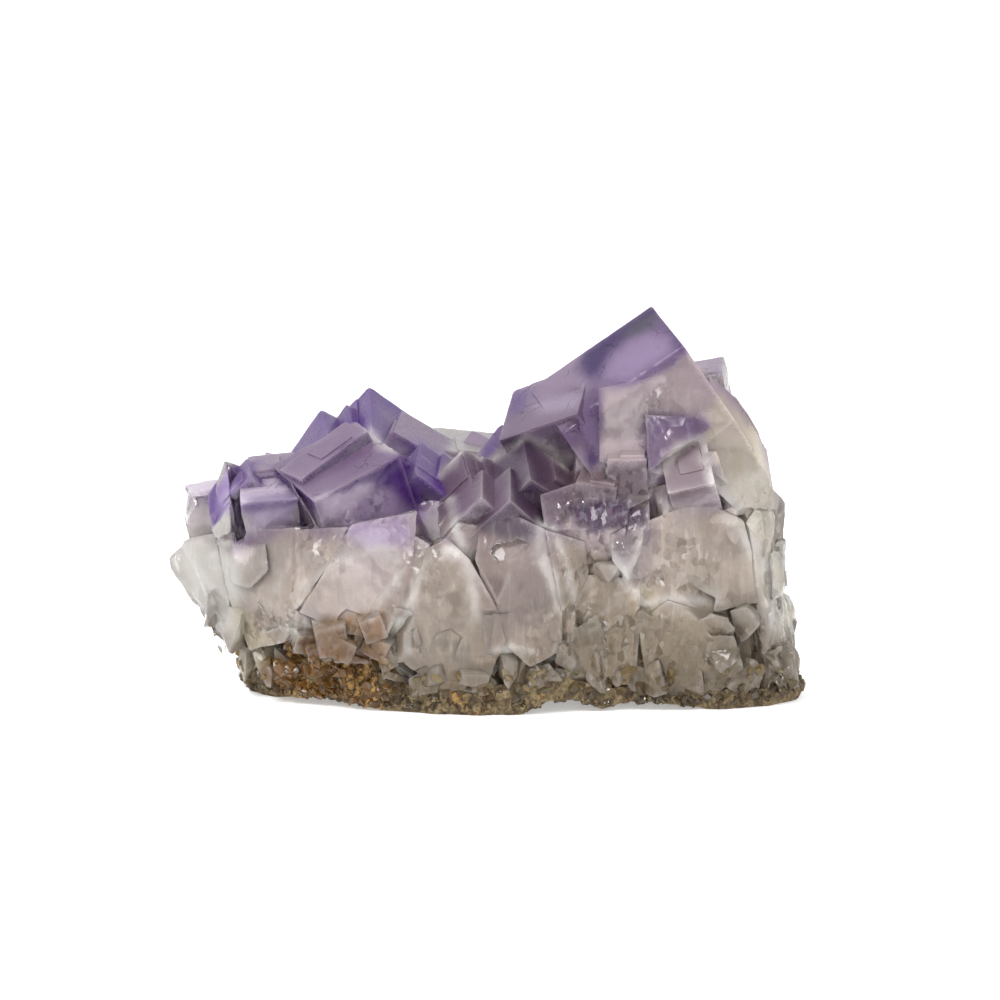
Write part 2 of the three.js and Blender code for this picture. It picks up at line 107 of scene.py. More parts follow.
# Crystals with growth zones: place of the hung corner, its signs, edges, turn in degrees,
# strength of the violet, how deep under a growth face it reaches in millimetres, and the faces.
# The last but one isn't in the CAD solid and is joined to it here, and the last is the peak
CRYSTALS = [
    ((-8.4, -9, 24.8), (1, -1, 1), (9.7, 9.7, 7.6), (24, -15, 29), 1.0, 3.0, "mauve"),
    ((-11.6, -5.6, 26.8), (1, -1, 1), (8.6, 4, 8), (24, -20, 38), 0.9, 1.6, "mauve"),
    ((-18.3, -8.5, 20.6), (1, -1, 1), (5.6, 5.2, 5), (21, -3, 4), 1.0, 1.5, "pale mauve"),
    ((-18.6, -4.6, 22.8), (1, -1, 1), (4.6, 5.2, 7), (14, -4, 6), 0.9, 1.5, "lilac"),
    ((-23.6, -3, 23.8), (-1, 1, 1), (4.2, 4, 6), (14, 42, 10), 0.9, 2.0, "violet"),
    ((-30.1, -2, 19.8), (-1, -1, 1), (5.4, 6, 6.2), (4, -7, 3), 0.6, 1.4, "pale mauve"),
    ((2.3, -14.5, 21.2), (-1, -1, 1), (7, 7, 7), (20, 46, 0), 0.7, 1.3, "plum"),
    ((-0.4, -13.5, 21.3), (-1, -1, 1), (6, 6, 6), (20, 46, 0), 0.7, 1.3, "plum"),
    ((3.3, -4, 27.2), (-1, 1, 1), (9.5, 9, 9), (24, 40, 8), 0.7, 2.0, "plum"),
    ((-2.4, -5, 24.9), (-1, 1, 1), (6.5, 6, 6.5), (26, 40, 16), 0.8, 2.0, "plum"),
    ((-6.5, -1, 25.1), (-1, 1, 1), (7, 6.5, 7), (24, 36, -6), 0.9, 2.5, "violet"),
    ((-12.1, 14, 29), (-1, 1, 1), (11, 11, 11), (20, 40, 4), 1.0, 4.0, "violet"),
    ((-17, 12, 26.9), (-1, 1, 1), (8, 8, 9), (14, 34, 12), 0.8, 3.0, "violet"),
    ((-8.7, 12, 26.8), (-1, 1, 1), (8, 8, 9), (12, 30, -6), 0.7, 3.0, "mauve"),
    ((-5.6, 16, 24.6), (-1, 1, 1), (11, 9, 9), (8, 7, 4), 0.1, 1.0, "clear"),
    ((17.4, -13, 21.6), (-1, -1, 1), (4.6, 6.4, 5), (50, -12, 8), 0.5, 1.0, "grey"),
    ((11.6, -11.6, 24.8), (-1, -1, 1), (3.8, 5, 4.6), (10, -2, -4), 0.2, 1.0, "grey"),
    ((8.6, -11.4, 22.6), (-1, -1, 1), (4, 4, 4), (16, 4, -12), 0.2, 1.0, "grey"),
    ((23.4, 3, 31.8), (1, -1, 1), (5, 5, 5.4), (10, -12, -6), 0.3, 1.0, "lilac"),
    ((26.8, 0, 19.6), (1, -1, 1), (5, 7, 6), (-4, 10, 6), 0.1, 1.0, "clear"),
    ((2.6, 1, 30), (-1, 1, 1), (9, 8, 9), (26, -30, -12), 0.7, 2.0, "lilac"),
    ((9, 5, 30.4), (-1, 1, 1), (10, 10, 11), (20, 30, -20), 0.8, 2.4, "mauve"),
    ((15.6, 8, 32), (-1, 1, 1), (9, 9, 11), (-16, 36, 20), 0.9, 2.4, "mauve"),
    ((-20, 3, 21.8), (-1, 1, 1), (7, 7, 8), (12, 26, 50), 0.9, 2.0, "violet"),
    ((-13.4, 3, 25.6), (-1, 1, 1), (7, 8, 8), (-14, 34, 24), 0.9, 2.0, "violet"),
    ((-25.6, 8, 20), (-1, 1, 1), (7.4, 7.4, 8), (-10, 14, 24), 0.8, 2.0, "pale mauve"),
    ((-21, 12.6, 20.4), (-1, 1, 1), (8, 7, 8), (-20, 24, -12), 0.8, 2.2, "mauve"),
    ((1.4, 7, 26), (-1, 1, 1), (8.4, 8, 9), (-10, 38, 30), 0.8, 2.2, "violet"),
    ((6.5, 13, 25), (-1, 1, 1), (9.4, 9, 9), (-24, 26, 8), 0.9, 2.2, "mauve"),
    ((0.6, 17, 20.4), (-1, 1, 1), (7.6, 7.6, 8), (-26, 34, -20), 0.7, 2.0, "lilac"),
    ((15, 14, 26), (-1, 1, 1), (9, 9, 10), (-22, 40, 30), 0.9, 2.4, "violet"),
    ((21.4, 8, 26), (1, 1, 1), (8.4, 9, 9), (-20, 14, 30), 0.7, 2.0, "lilac"),
    ((-13, 19, 20), (-1, 1, 1), (7, 7, 7), (-30, 30, 40), 0.8, 2.0, "mauve"),
    ((26, 13.5, 18.4), (1, 1, 1), (8, 8, 8), (-26, 10, -14), 0.6, 1.6, "pale mauve"),
    ((-14.4, 12.5, 27.4), (-1, 1, 1), (7, 7, 8), (14, 34, 12), 0.9, 3.0, "violet"),
    ((16.2, -1, 38.6), (1, -1, 1), (14.5, 14.5, 14.5), (-64, -21, -28), 0.9, 2.2, "lilac"),
]

# Colour zones of the front, each an outline of picture points, a colour,
# how much of it shows and how many picture points its edge takes
FRONT_ZONES = {
    "shard": ([(217, 497), (225, 463), (232, 470), (243, 510), (238, 520), (222, 515)],
              (176, 156, 200), 0.7, 4),
    # Near white: painted glow of light through the thin left edge
    "left ledge glow": ([(172, 545), (200, 535), (245, 560), (235, 640), (190, 600)], (240, 237, 230), 0.9, 10),
    "lower left": ([(232, 600), (270, 640), (292, 685), (240, 690)], (212, 202, 176), 0.85, 8),
    "left wall": ([(240, 545), (300, 535), (345, 545), (300, 620), (250, 610)], (204, 191, 181), 0.75, 10),
    "big facet": ([(345, 550), (405, 545), (408, 560), (380, 615), (300, 622)], (200, 187, 183), 0.85, 6),
    "middle facet": ([(412, 560), (438, 540), (476, 580), (482, 660), (405, 682)], (160, 148, 136), 0.8, 7),
    "mauve wall": ([(430, 520), (470, 520), (545, 545), (550, 610), (500, 640), (476, 575)],
                   (144, 128, 125), 0.85, 8),
    "grey wall": ([(555, 535), (612, 560), (640, 615), (610, 670), (560, 650)], (144, 129, 109), 0.8, 8),
    "right facet": ([(655, 510), (740, 510), (755, 592), (650, 596)], (182, 168, 152), 0.8, 8),
    "low right": ([(560, 650), (640, 605), (755, 596), (765, 700), (560, 700)], (148, 133, 110), 0.75, 10),
    # Near white: painted glow of light through the thin right edge
    "right ledge glow": ([(712, 445), (757, 425), (778, 500), (782, 560), (800, 620), (775, 640), (750, 560)],
                    (238, 231, 214), 0.9, 8),
    "right corner": ([(772, 630), (802, 620), (802, 690), (770, 700)], (150, 139, 120), 0.6, 10),
    "warm patch": ([(628, 592), (645, 585), (662, 596), (655, 610), (636, 608)], (196, 181, 143), 0.7, 6),
    "ridge": ([(500, 412), (532, 400), (575, 384), (600, 398), (590, 448), (552, 455), (495, 440)],
              (110, 91, 114), 0.85, 5),
    "notch": ([(560, 438), (588, 402), (590, 436), (568, 446)], (106, 80, 118), 0.85, 5),
    "flank": ([(588, 345), (650, 306), (686, 349), (672, 367), (628, 389), (590, 383), (579, 369)],
              (96, 74, 114), 0.9, 3),
    "flank glow": ([(606, 362), (640, 332), (668, 336), (672, 350), (654, 364), (630, 382), (604, 380)],
                   (146, 126, 160), 0.8, 7),
    "flank rim": ([(580, 356), (650, 302), (664, 309), (650, 320), (610, 350), (598, 374), (584, 376)],
                  (56, 36, 88), 0.95, 4),
    "left tip": ([(500, 398), (516, 390), (534, 388), (524, 410), (500, 420)], (88, 62, 120), 0.8, 6),
    "cloudy edge": ([(530, 404), (560, 392), (584, 396), (576, 408), (540, 414)], (160, 146, 168), 0.7, 5),
    "dark inclusion": ([(622, 334), (638, 318), (660, 313), (652, 326), (634, 338)], (70, 72, 78), 0.75, 5),
    "right rim": ([(650, 305), (664, 312), (692, 346), (682, 352), (668, 330)], (72, 50, 100), 0.85, 4),
    "pale face": ([(602, 388), (628, 389), (672, 367), (690, 351), (724, 394), (704, 416), (646, 416),
                   (648, 464), (600, 463)], (174, 158, 160), 0.9, 3),
    "violet strip": ([(587, 388), (603, 386), (603, 430), (599, 462), (584, 456)], (88, 64, 104), 0.9, 4),
    "dark corner": ([(585, 452), (598, 450), (602, 463), (590, 471)], (76, 46, 104), 0.9, 4),
    "warm flank": ([(722, 392), (754, 428), (758, 470), (735, 480), (704, 440), (706, 415)],
                   (200, 188, 170), 0.85, 5),
    "triangle": ([(645, 415), (700, 413), (713, 425), (700, 437), (672, 441), (656, 472), (645, 472)],
                 (116, 92, 130), 0.9, 3),
    "triangle glow": ([(652, 440), (668, 428), (684, 430), (664, 446), (654, 462)],
                      (158, 138, 158), 0.7, 5),
    "lilac block": ([(656, 472), (690, 440), (710, 450), (706, 492), (664, 502)], (126, 108, 116), 0.85, 5),
    "deep flank": ([(374, 484), (396, 457), (412, 468), (426, 498), (421, 518), (405, 508), (388, 488)],
                   (72, 28, 116), 0.95, 7),
    "front glow": ([(326, 510), (388, 492), (415, 515), (410, 546), (374, 550), (345, 532)],
                   (192, 168, 208), 0.8, 10),
    "streaks": ([(317, 499), (374, 482), (350, 515), (330, 520)], (214, 198, 215), 0.85, 5),
    "violet cube": ([(402, 446), (421, 433), (441, 446), (443, 468), (425, 480), (408, 466)],
                    (98, 70, 130), 0.8, 4),
    "small flank": ([(249, 497), (293, 492), (294, 508), (249, 512)], (106, 82, 138), 0.85, 4),
    "small glow": ([(250, 512), (293, 508), (293, 527), (252, 528)], (186, 168, 202), 0.8, 5),
    # Dark violet, with painted shadow under the roofs' lower edges
    "shade under roofs": ([(470, 505), (496, 512), (512, 500), (549, 522), (530, 546), (478, 532)],
                    (64, 42, 66), 0.85, 6),
    "left roof": ([(452, 455), (470, 440), (484, 465), (498, 500), (488, 512), (470, 505), (440, 480)],
                  (98, 76, 97), 0.8, 5),
    "middle roof": ([(500, 440), (530, 436), (548, 470), (545, 520), (512, 500), (498, 470)],
                    (60, 38, 66), 0.85, 5),
    "right roof": ([(548, 470), (575, 462), (584, 500), (560, 528), (545, 520)], (86, 64, 84), 0.8, 5),
    "druse": ([(568, 508), (600, 495), (650, 505), (646, 528), (600, 534), (574, 526)],
              (70, 44, 84), 0.95, 5),
    "blocks": ([(572, 470), (648, 464), (650, 505), (600, 495), (574, 505)], (112, 92, 98), 0.85, 5),
    "tooth": ([(608, 527), (642, 525), (640, 545), (628, 580), (618, 578), (612, 560)],
              (146, 128, 140), 0.8, 4),
    "tooth tip": ([(612, 560), (632, 566), (628, 582), (618, 580)], (220, 216, 214), 0.8, 4),
    "stained cubes": ([(298, 640), (325, 618), (385, 610), (388, 650), (350, 660), (300, 660)],
                      (150, 112, 74), 0.85, 5),
    "rusty pocket": ([(246, 676), (290, 648), (388, 650), (385, 700), (250, 700)], (134, 86, 22), 0.8, 8),
}

# Outlines of the front's splintery parts, in picture points
SPLINTERY = {
    "druse": [(560, 500), (655, 495), (650, 545), (600, 560), (565, 590), (545, 560)],
    "column": [(425, 470), (470, 480), (490, 545), (440, 560), (425, 520)],
    "middle left": [(285, 520), (345, 515), (350, 560), (300, 575)],
    "rubble": [(560, 640), (640, 600), (700, 640), (790, 600), (800, 700), (560, 700)],
    "left foot": [(240, 620), (300, 600), (300, 650), (250, 690)],
    "right edge": [(752, 420), (790, 470), (802, 640), (770, 640), (752, 520)],
}

# Painted highlights along the front's cleavage edges, each a line through picture points, its
# width in picture points and how much of it shows
EDGE_HIGHLIGHT_LINES = [
    ([(407, 653), (409, 610), (421, 566), (447, 548), (466, 560), (473, 594), (476, 619)], 5.9, 0.90),
    ([(297, 610), (305, 585), (341, 560), (375, 549), (400, 548), (396, 577), (379, 602), (371, 619)],
     4.4, 0.65),
    ([(451, 500), (455, 526), (463, 551)], 6.7, 0.70),
    ([(541, 526), (539, 551), (552, 577), (560, 610)], 8.0, 0.85),
    ([(552, 526), (565, 560), (575, 598)], 4.8, 0.75),
    ([(628, 585), (645, 604), (666, 598), (721, 602)], 5.2, 0.75),
    ([(609, 530), (617, 564), (626, 583)], 4.8, 0.95),
    ([(640, 532), (634, 560), (626, 581)], 4.0, 0.85),
    ([(725, 518), (750, 539), (763, 560), (771, 585), (775, 627)], 7.5, 0.85),
    ([(489, 652), (518, 648), (535, 652)], 4.8, 0.75),
    ([(440, 476), (470, 440), (480, 459)], 4.0, 0.65),
    ([(493, 459), (527, 436), (552, 450), (567, 467)], 4.4, 0.65),
    ([(704, 460), (718, 488), (738, 508)], 8.0, 0.85),
    ([(662, 472), (680, 445), (700, 437), (706, 452)], 5.2, 0.75),
    ([(240, 572), (262, 562), (282, 574), (276, 592)], 4.0, 0.65),
    ([(358, 420), (384, 445), (403, 452)], 5.2, 0.60),
]

# Small crystals wedged between the large ones: picture point, width and height in millimetres,
# how far they stand out and their turn in degrees
WEDGED = [
    (223, 536, 2.8, 3.0, 0.3, (10, 8, -10)),
    (211, 611, 2.2, 3.8, 0.0, (6, 10, -24)),
    (304, 617, 2.4, 2.2, 0.4, (14, 10, 12)),
    (663, 497, 2.6, 4.4, 0.1, (8, 10, 12)),
    (735, 505, 2.8, 2.6, 0.2, (12, -8, -20)),
    (604, 570, 3.4, 2.2, 0.1, (6, 12, 6)),
    (568, 622, 1.8, 3.4, 0.1, (4, -14, 8)),
    (569, 652, 2.0, 3.2, 0.3, (10, 12, -8)),
    (714, 628, 3.0, 3.6, 0.2, (10, 8, 14)),
    (722, 655, 3.2, 3.0, 0.4, (-6, 16, -12)),
    (745, 622, 2.8, 4.0, 0.2, (8, -12, 6)),
    (503, 662, 2.6, 4.4, 0.3, (6, 10, 18)),
    (645, 612, 2.6, 2.0, 0.1, (8, 14, 4)),
    (304, 594, 1.8, 4.4, 0.0, (6, 24, 10)),
    (751, 528, 1.8, 5.0, 0.1, (6, -6, 12)),
    (776, 574, 1.8, 4.6, 0.1, (4, 4, -16)),
    (771, 664, 2.2, 4.6, 0.3, (8, -10, 10)),
    (782, 668, 3.0, 4.6, 0.3, (10, 6, 20)),
    (238, 628, 2.0, 4.6, 0.2, (6, 12, -14)),
    (386, 655, 2.4, 3.0, 0.3, (12, -16, 12)),
    (388, 680, 2.6, 2.4, 0.7, (24, 20, 30)),
    (250, 660, 2.6, 4.8, 1.4, (8, 8, 20)),
    (268, 666, 2.8, 4.4, 1.5, (6, -10, -8)),
    (286, 670, 2.4, 3.4, 1.3, (12, 14, 22)),
    (620, 668, 3.6, 3.2, 0.4, (8, 14, 16)),
    (655, 672, 3.0, 3.6, 0.4, (10, -12, -10)),
    (690, 676, 3.4, 2.8, 0.5, (14, 20, 8)),
    (596, 662, 2.6, 3.4, 0.4, (8, -18, 20)),
    (540, 672, 3.0, 3.0, 0.5, (12, 8, -16)),
    (470, 672, 3.2, 2.6, 0.4, (10, 16, 8)),
    (430, 674, 2.6, 2.4, 0.5, (8, -12, 26)),
    (712, 470, 2.0, 3.6, 0.4, (4, -30, 16)),
    (728, 492, 2.2, 3.4, 0.4, (-6, -34, 24)),
]

# Stained cubes above the rusty pocket, given as in the table before
STAINED_CUBES = [
    (305, 638, 2.2, 2.2, 0.7, (24, 14, 8)),
    (330, 633, 3.0, 3.0, 0.9, (20, -10, 10)),
    (346, 646, 2.4, 2.2, 0.9, (16, 24, -14)),
    (371, 624, 2.3, 2.5, 0.7, (18, -16, 12)),
    (380, 643, 2.6, 2.2, 0.7, (22, 20, -20)),
    (317, 650, 2.0, 2.0, 0.9, (26, -20, 16)),
]

# Camera: height above the horizon, distance, and what it looks at, in millimetres
ELEVATION = math.radians(8)
CAMERA_DISTANCE = 380.0
CAMERA_TARGET = Vector((1.4, -0.223, 18.815))
POINTS_PER_MM = 10.0
PICTURE_MIDDLE = 500.0
FORWARD = Vector((0, math.cos(ELEVATION), -math.sin(ELEVATION)))
UPWARD = Vector((0, math.sin(ELEVATION), math.cos(ELEVATION)))
EYE = CAMERA_TARGET - CAMERA_DISTANCE * FORWARD


def picture_points(places):
    """Where places in millimetres show in the picture."""
    out = places - np.array(EYE)
    scale = POINTS_PER_MM * CAMERA_DISTANCE / (out @ np.array(FORWARD))
    return np.stack([PICTURE_MIDDLE + out[:, 0] * scale,
                     PICTURE_MIDDLE - (out @ np.array(UPWARD)) * scale], axis=1)


def sight_line(px, py):
    """Direction from the camera through a picture point."""
    scale = POINTS_PER_MM * CAMERA_DISTANCE
    side = Vector((1, 0, 0)) * (px - PICTURE_MIDDLE) / scale
    return (FORWARD + side - UPWARD * (py - PICTURE_MIDDLE) / scale).normalized()


def inside(points, outline):
    """Distance of picture points from an outline's edge, positive inside."""
    corners = np.array(outline, float)
    nearest = np.full(len(points), 1e9)
    within = np.zeros(len(points), bool)
    for a, b in zip(corners, np.roll(corners, -1, axis=0)):
        along = np.clip(((points - a) @ (b - a)) / ((b - a) @ (b - a)), 0, 1)
        nearest = np.minimum(nearest, np.linalg.norm(points - a - along[:, None] * (b - a), axis=1))
        rising = (a[1] > points[:, 1]) != (b[1] > points[:, 1])
        crossing = a[0] + (points[:, 1] - a[1]) * (b[0] - a[0]) / (b[1] - a[1] + 1e-12)
        within ^= rising & (points[:, 0] < crossing)
    return np.where(within, nearest, -nearest)


def away_from(points, line):
    """Distance of picture points from a line."""
    nearest = np.full(len(points), 1e9)
    for a, b in zip(np.array(line[:-1], float), np.array(line[1:], float)):
        along = np.clip(((points - a) @ (b - a)) / ((b - a) @ (b - a)), 0, 1)
        nearest = np.minimum(nearest, np.linalg.norm(points - a - along[:, None] * (b - a), axis=1))
    return nearest


def tone(colour):
    """A colour as it looks, from 0 to 255, as the linear values that a shader takes."""
    value = np.array(colour, float) / 255
    return np.where(value <= 0.04045, value / 12.92, ((value + 0.055) / 1.055) ** 2.4)


def rotation(turn):
    """Turn of a crystal as a matrix, the three angles applied as in the CAD layout."""
    x, y, z = (math.radians(v) for v in turn)
    return Matrix.Rotation(x, 3, "X") @ Matrix.Rotation(y, 3, "Y") @ Matrix.Rotation(z, 3, "Z")


# Solids that are joined to a node's own shape or cut from it, in millimetres


def node_solid(node):
    """A node's mesh in millimetres as an object, its corners merged."""
    bm = bmesh.new()
    bm.from_mesh(frame["nodes"][node].data)
    bmesh.ops.scale(bm, vec=(1 / MM,) * 3, verts=bm.verts)
    bmesh.ops.remove_doubles(bm, verts=bm.verts, dist=1e-3)
    return loose_object(bm, node + "_solid")


def loose_object(bm, name):
    mesh = bpy.data.meshes.new(name)
    bm.to_mesh(mesh)
    bm.free()
    return bpy.data.objects.new(name, mesh)


def hull_of(points, name):
    """Convex solid round some points."""
    bm = bmesh.new()
    for point in points:
        bm.verts.new(point)
    bmesh.ops.convex_hull(bm, input=bm.verts)
    loose = [v for v in bm.verts if not v.link_faces]
    bmesh.ops.delete(bm, geom=loose, context="VERTS")
    bmesh.ops.recalc_face_normals(bm, faces=bm.faces)
    return loose_object(bm, name)


def box_of(centre, edges, turned, name):
    """Box turned by a matrix."""
    half = 0.5 * Vector(edges)
    corners = [
        Vector(centre) + turned @ Vector((sx * half.x, sy * half.y, sz * half.z))
        for sx in (-1, 1) for sy in (-1, 1) for sz in (-1, 1)
    ]
    return hull_of(corners, name)


def combine(solid, parts, operation):
    """The solid with all parts joined to it or cut from it."""
    if not parts:
        return solid
    room = bpy.data.collections.new("parts")
    bpy.context.scene.collection.children.link(room)
    bpy.context.scene.collection.objects.link(solid)
    for part in parts:
        room.objects.link(part)
    modifier = solid.modifiers.new("combine", "BOOLEAN")
    modifier.solver = "MANIFOLD"
    modifier.operation = operation
    modifier.operand_type = "COLLECTION"
    modifier.collection = room
    graph = bpy.context.evaluated_depsgraph_get()
    mesh = bpy.data.meshes.new_from_object(solid.evaluated_get(graph))
    for part in [*parts, solid]:
        old = part.data
        bpy.data.objects.remove(part)
        bpy.data.meshes.remove(old)
    bpy.data.collections.remove(room)
    return bpy.data.objects.new("combined", mesh)


# Mesh handling, in millimetres


def arrays_of(solid):
    """A solid's vertex places and triangles. The solid itself is removed."""
    mesh = solid.data
    mesh.calc_loop_triangles()
    places = np.zeros(3 * len(mesh.vertices))
    mesh.vertices.foreach_get("co", places)
    tris = np.zeros(3 * len(mesh.loop_triangles), np.int32)
    mesh.loop_triangles.foreach_get("vertices", tris)
    bpy.data.objects.remove(solid)
    bpy.data.meshes.remove(mesh)
    return places.reshape(-1, 3), tris.reshape(-1, 3).astype(np.int64)


def without_crumbs(places, tris, least):
    """The mesh without loose bits of fewer vertices than this."""
    label = np.arange(len(places))
    while True:
        lowest = label[tris].min(axis=1)
        new = label.copy()
        for k in range(3):
            np.minimum.at(new, tris[:, k], lowest)
        new = new[new]
        if (new == label).all():
            break
        label = new
    kept = np.bincount(label, minlength=len(places))[label] >= least
    return places, tris[kept[tris[:, 0]]]


def edge_keys(tris, count):
    """One number for each triangle's three edges, the same from both sides."""
    following = np.roll(tris, -1, axis=1)
    return np.minimum(tris, following) * count + np.maximum(tris, following)


def split_long(places, tris, limit_at):
    """Triangles halved across their longest edges until these are short enough for their place."""
    for _ in range(40):
        count = len(places)
        keys = edge_keys(tris, count)
        lengths = np.linalg.norm(places[keys // count] - places[keys % count], axis=-1)
        limits = limit_at(places[tris].mean(axis=1))
        wanted = (lengths >= lengths.max(axis=1)[:, None] - 1e-9) & (lengths > limits[:, None])
        marked = np.unique(keys[wanted])
        if not len(marked):
            break
        split = np.isin(keys, marked)
        middles = count + np.searchsorted(marked, keys)
        places = np.concatenate([places, 0.5 * (places[marked // count] + places[marked % count])])
        new = [tris[~split.any(axis=1)]]
        for k in range(3):
            a, b, c = (tris[:, (k + n) % 3] for n in range(3))
            ab, bc, ca = (middles[:, (k + n) % 3] for n in range(3))
            has_ab, has_bc, has_ca = (split[:, (k + n) % 3] for n in range(3))
            one = has_ab & ~has_bc & ~has_ca
            new += [np.stack(t, axis=1)[one] for t in ((a, ab, c), (ab, b, c))]
            two = has_ab & has_bc & ~has_ca
            inner = np.where(two, bc, 0)
            outer = np.where(two, ab, 0)
            near = (np.linalg.norm(places[a] - places[inner], axis=1)
                    < np.linalg.norm(places[c] - places[outer], axis=1))
            new += [np.stack((ab, b, bc), axis=1)[two]]
            new += [np.stack(t, axis=1)[two & near] for t in ((a, ab, bc), (a, bc, c))]
            new += [np.stack(t, axis=1)[two & ~near] for t in ((a, ab, c), (ab, bc, c))]
            if k == 0:
                all_three = has_ab & has_bc & has_ca
                new += [np.stack(t, axis=1)[all_three]
                        for t in ((a, ab, ca), (ab, b, bc), (ca, bc, c), (ab, bc, ca))]
        tris = np.concatenate(new)
    return places, tris


def thinned(places, tris, most):
    """The mesh with its flattest places thinned out until it has at most this many triangles."""
    if len(tris) <= most:
        return places, tris
    mesh = bpy.data.meshes.new("full")
    mesh.from_pydata(places, [], tris)
    solid = bpy.data.objects.new("full", mesh)
    bpy.context.scene.collection.objects.link(solid)
    modifier = solid.modifiers.new("thin", "DECIMATE")
    modifier.ratio = most / len(tris)
    graph = bpy.context.evaluated_depsgraph_get()
    result = bpy.data.meshes.new_from_object(solid.evaluated_get(graph))
    bpy.data.objects.remove(solid)
    bpy.data.meshes.remove(mesh)
    return arrays_of(bpy.data.objects.new("thin", result))


def normals_of(places, tris):
    """Unit normals of the triangles and of the vertices."""
    corners = places[tris]
    spans = np.cross(corners[:, 1] - corners[:, 0], corners[:, 2] - corners[:, 0])
    at_vertices = np.zeros_like(places)
    for k in range(3):
        np.add.at(at_vertices, tris[:, k], spans)
    return [v / np.maximum(np.linalg.norm(v, axis=1), 1e-12)[:, None] for v in (spans, at_vertices)]


def bends(places, tris):
    """Edges as index pairs, and the bend across each in degrees."""
    faces, _ = normals_of(places, tris)
    keys = edge_keys(tris, len(places)).ravel()
    order = np.argsort(keys, kind="stable")
    one, other = (faces[order[k::2] // 3] for k in (0, 1))
    met = keys[order[::2]]
    bend = np.degrees(np.arccos(np.clip((one * other).sum(axis=1), -1, 1)))
    return np.stack([met // len(places), met % len(places)], axis=1), bend


def smooth(places, edges, weight, rounds):
    """Each vertex moves toward the mean of its neighbours by its weight."""
    count = np.bincount(edges.ravel(), minlength=len(places))[:, None]
    for _ in range(rounds):
        total = np.stack([
            np.bincount(edges[:, 0], places[edges[:, 1], k], len(places))
            + np.bincount(edges[:, 1], places[edges[:, 0], k], len(places))
            for k in range(3)
        ], axis=1)
        places = places + weight[:, None] * (total / np.maximum(count, 1) - places)
    return places


def make_object(places, tris, name, attributes):
    """New object from arrays in millimetres, with its point attributes and crisp edges."""
    mesh = bpy.data.meshes.new(name)
    mesh.from_pydata(places * MM, [], tris)
    for key, values in attributes.items():
        if values.ndim == 2:
            layer = mesh.attributes.new(key, "FLOAT_COLOR", "POINT")
            full = np.ones((len(values), 4), np.float32)
            full[:, :3] = values
            layer.data.foreach_set("color", full.ravel())
        else:
            layer = mesh.attributes.new(key, "FLOAT", "POINT")
            layer.data.foreach_set("value", values.astype(np.float32))
    mesh.shade_smooth()
    mesh.set_sharp_from_angle(angle=CRISP_ANGLE)
    obj = bpy.data.objects.new(name, mesh)
    bpy.context.scene.collection.objects.link(obj)
    return obj


# Fields over points


def ramp(values, low, high):
    t = np.clip((values - low) / (high - low), 0, 1)
    return t * t * (3 - 2 * t)


def lattice(cells, seed):
    """Repeatable value from 0 to 1 for each whole-number place."""
    x, y, z = (cells[..., k].astype(np.int64) for k in range(3))
    mixed = (x * 73856093) ^ (y * 19349663) ^ (z * 83492791) ^ (seed * 2654435761)
    mixed = (mixed ^ (mixed >> 13)) * 1274126177 & 0x7FFFFFFF
    return ((mixed ^ (mixed >> 16)) & 0xFFFF) / 65535.0


def noise_at(points, size, octaves=3, seed=0):
    """Smooth fractal noise from -1 to 1, with features of about this size in millimetres."""
    total = np.zeros(len(points))
    weight = 0.0
    for octave in range(octaves):
        place = points / size * 2 ** octave + 17.3 * octave
        cell = np.floor(place)
        part = place - cell
        part = part * part * (3 - 2 * part)
        value = np.zeros(len(points))
        for corner in range(8):
            step = np.array([corner & 1, corner >> 1 & 1, corner >> 2 & 1])
            share = np.prod(np.where(step, part, 1 - part), axis=1)
            value += share * lattice(cell + step, seed + octave)
        total += (2 * value - 1) * 0.5 ** octave
        weight += 0.5 ** octave
    return total / weight * 1.4


def mix(a, b, share):
    share = np.asarray(share)[:, None]
    return np.asarray(a) * (1 - share) + np.asarray(b) * share


def growth(places, normals):
    """For each point: strength of the violet zone, share of growth face, and that face's colour."""
    zone = np.zeros(len(places))
    frost = np.zeros(len(places))
    face = np.tile(tone(FACES["clear"]), (len(places), 1))
    nearest = np.full(len(places), 1e9)
    wobble = 0.35 * noise_at(places, 1.3, 2, 11)
    for at, corner, edges, turn, strength, reach, colour in CRYSTALS:
        turned = np.array(rotation(turn))
        half = 0.5 * np.array(edges)
        centre = np.array(at) - turned @ (half * np.array(corner)) + np.array(LAYOUT_SHIFT)
        local = (places - centre) @ turned
        local_normals = normals @ turned
        gap = np.max(np.abs(local) - half, axis=1)
        depth = np.full(len(places), 1e3)
        cover = np.zeros(len(places))
        for axis in range(3):
            for sign in (-1, 1):
                outward = sign * turned[:, axis]
                if outward[2] < 0.25 and outward[1] < 0.35:
                    continue
                under = half[axis] - sign * local[:, axis]
                depth = np.minimum(depth, np.maximum(under, 0))
                facing = ramp(sign * local_normals[:, axis], 0.6, 0.9)
                cover = np.maximum(cover, facing * (np.abs(under) < 0.9))
        chosen = (np.abs(gap) < nearest - 0.05) & (np.abs(gap) < 1.2)
        shade = strength * np.exp(-((np.maximum(depth + wobble, 0) / reach) ** 1.3))
        shade = shade * ramp(depth, 0.1, 0.35)
        cover = np.maximum(cover, 1 - ramp(depth, 0.15, 0.4))
        zone = np.where(chosen, shade, zone)
        frost = np.where(chosen, cover, frost)
        face = np.where(chosen[:, None], tone(FACES[colour]), face)
        nearest = np.where(chosen, np.abs(gap), nearest)
    return zone, frost, face


def thickness(places, tris, normals):
    """How far a straight way through the solid is from each point, in millimetres."""
    tree = BVHTree.FromPolygons(places.tolist(), tris.tolist())
    found = np.full(len(places), 30.0)
    for k, (place, normal) in enumerate(zip(places, normals)):
        inward = Vector(-normal)
        _, _, _, far = tree.ray_cast(Vector(place) + inward * 0.8, inward)
        if far is not None:
            found[k] = far
    return found


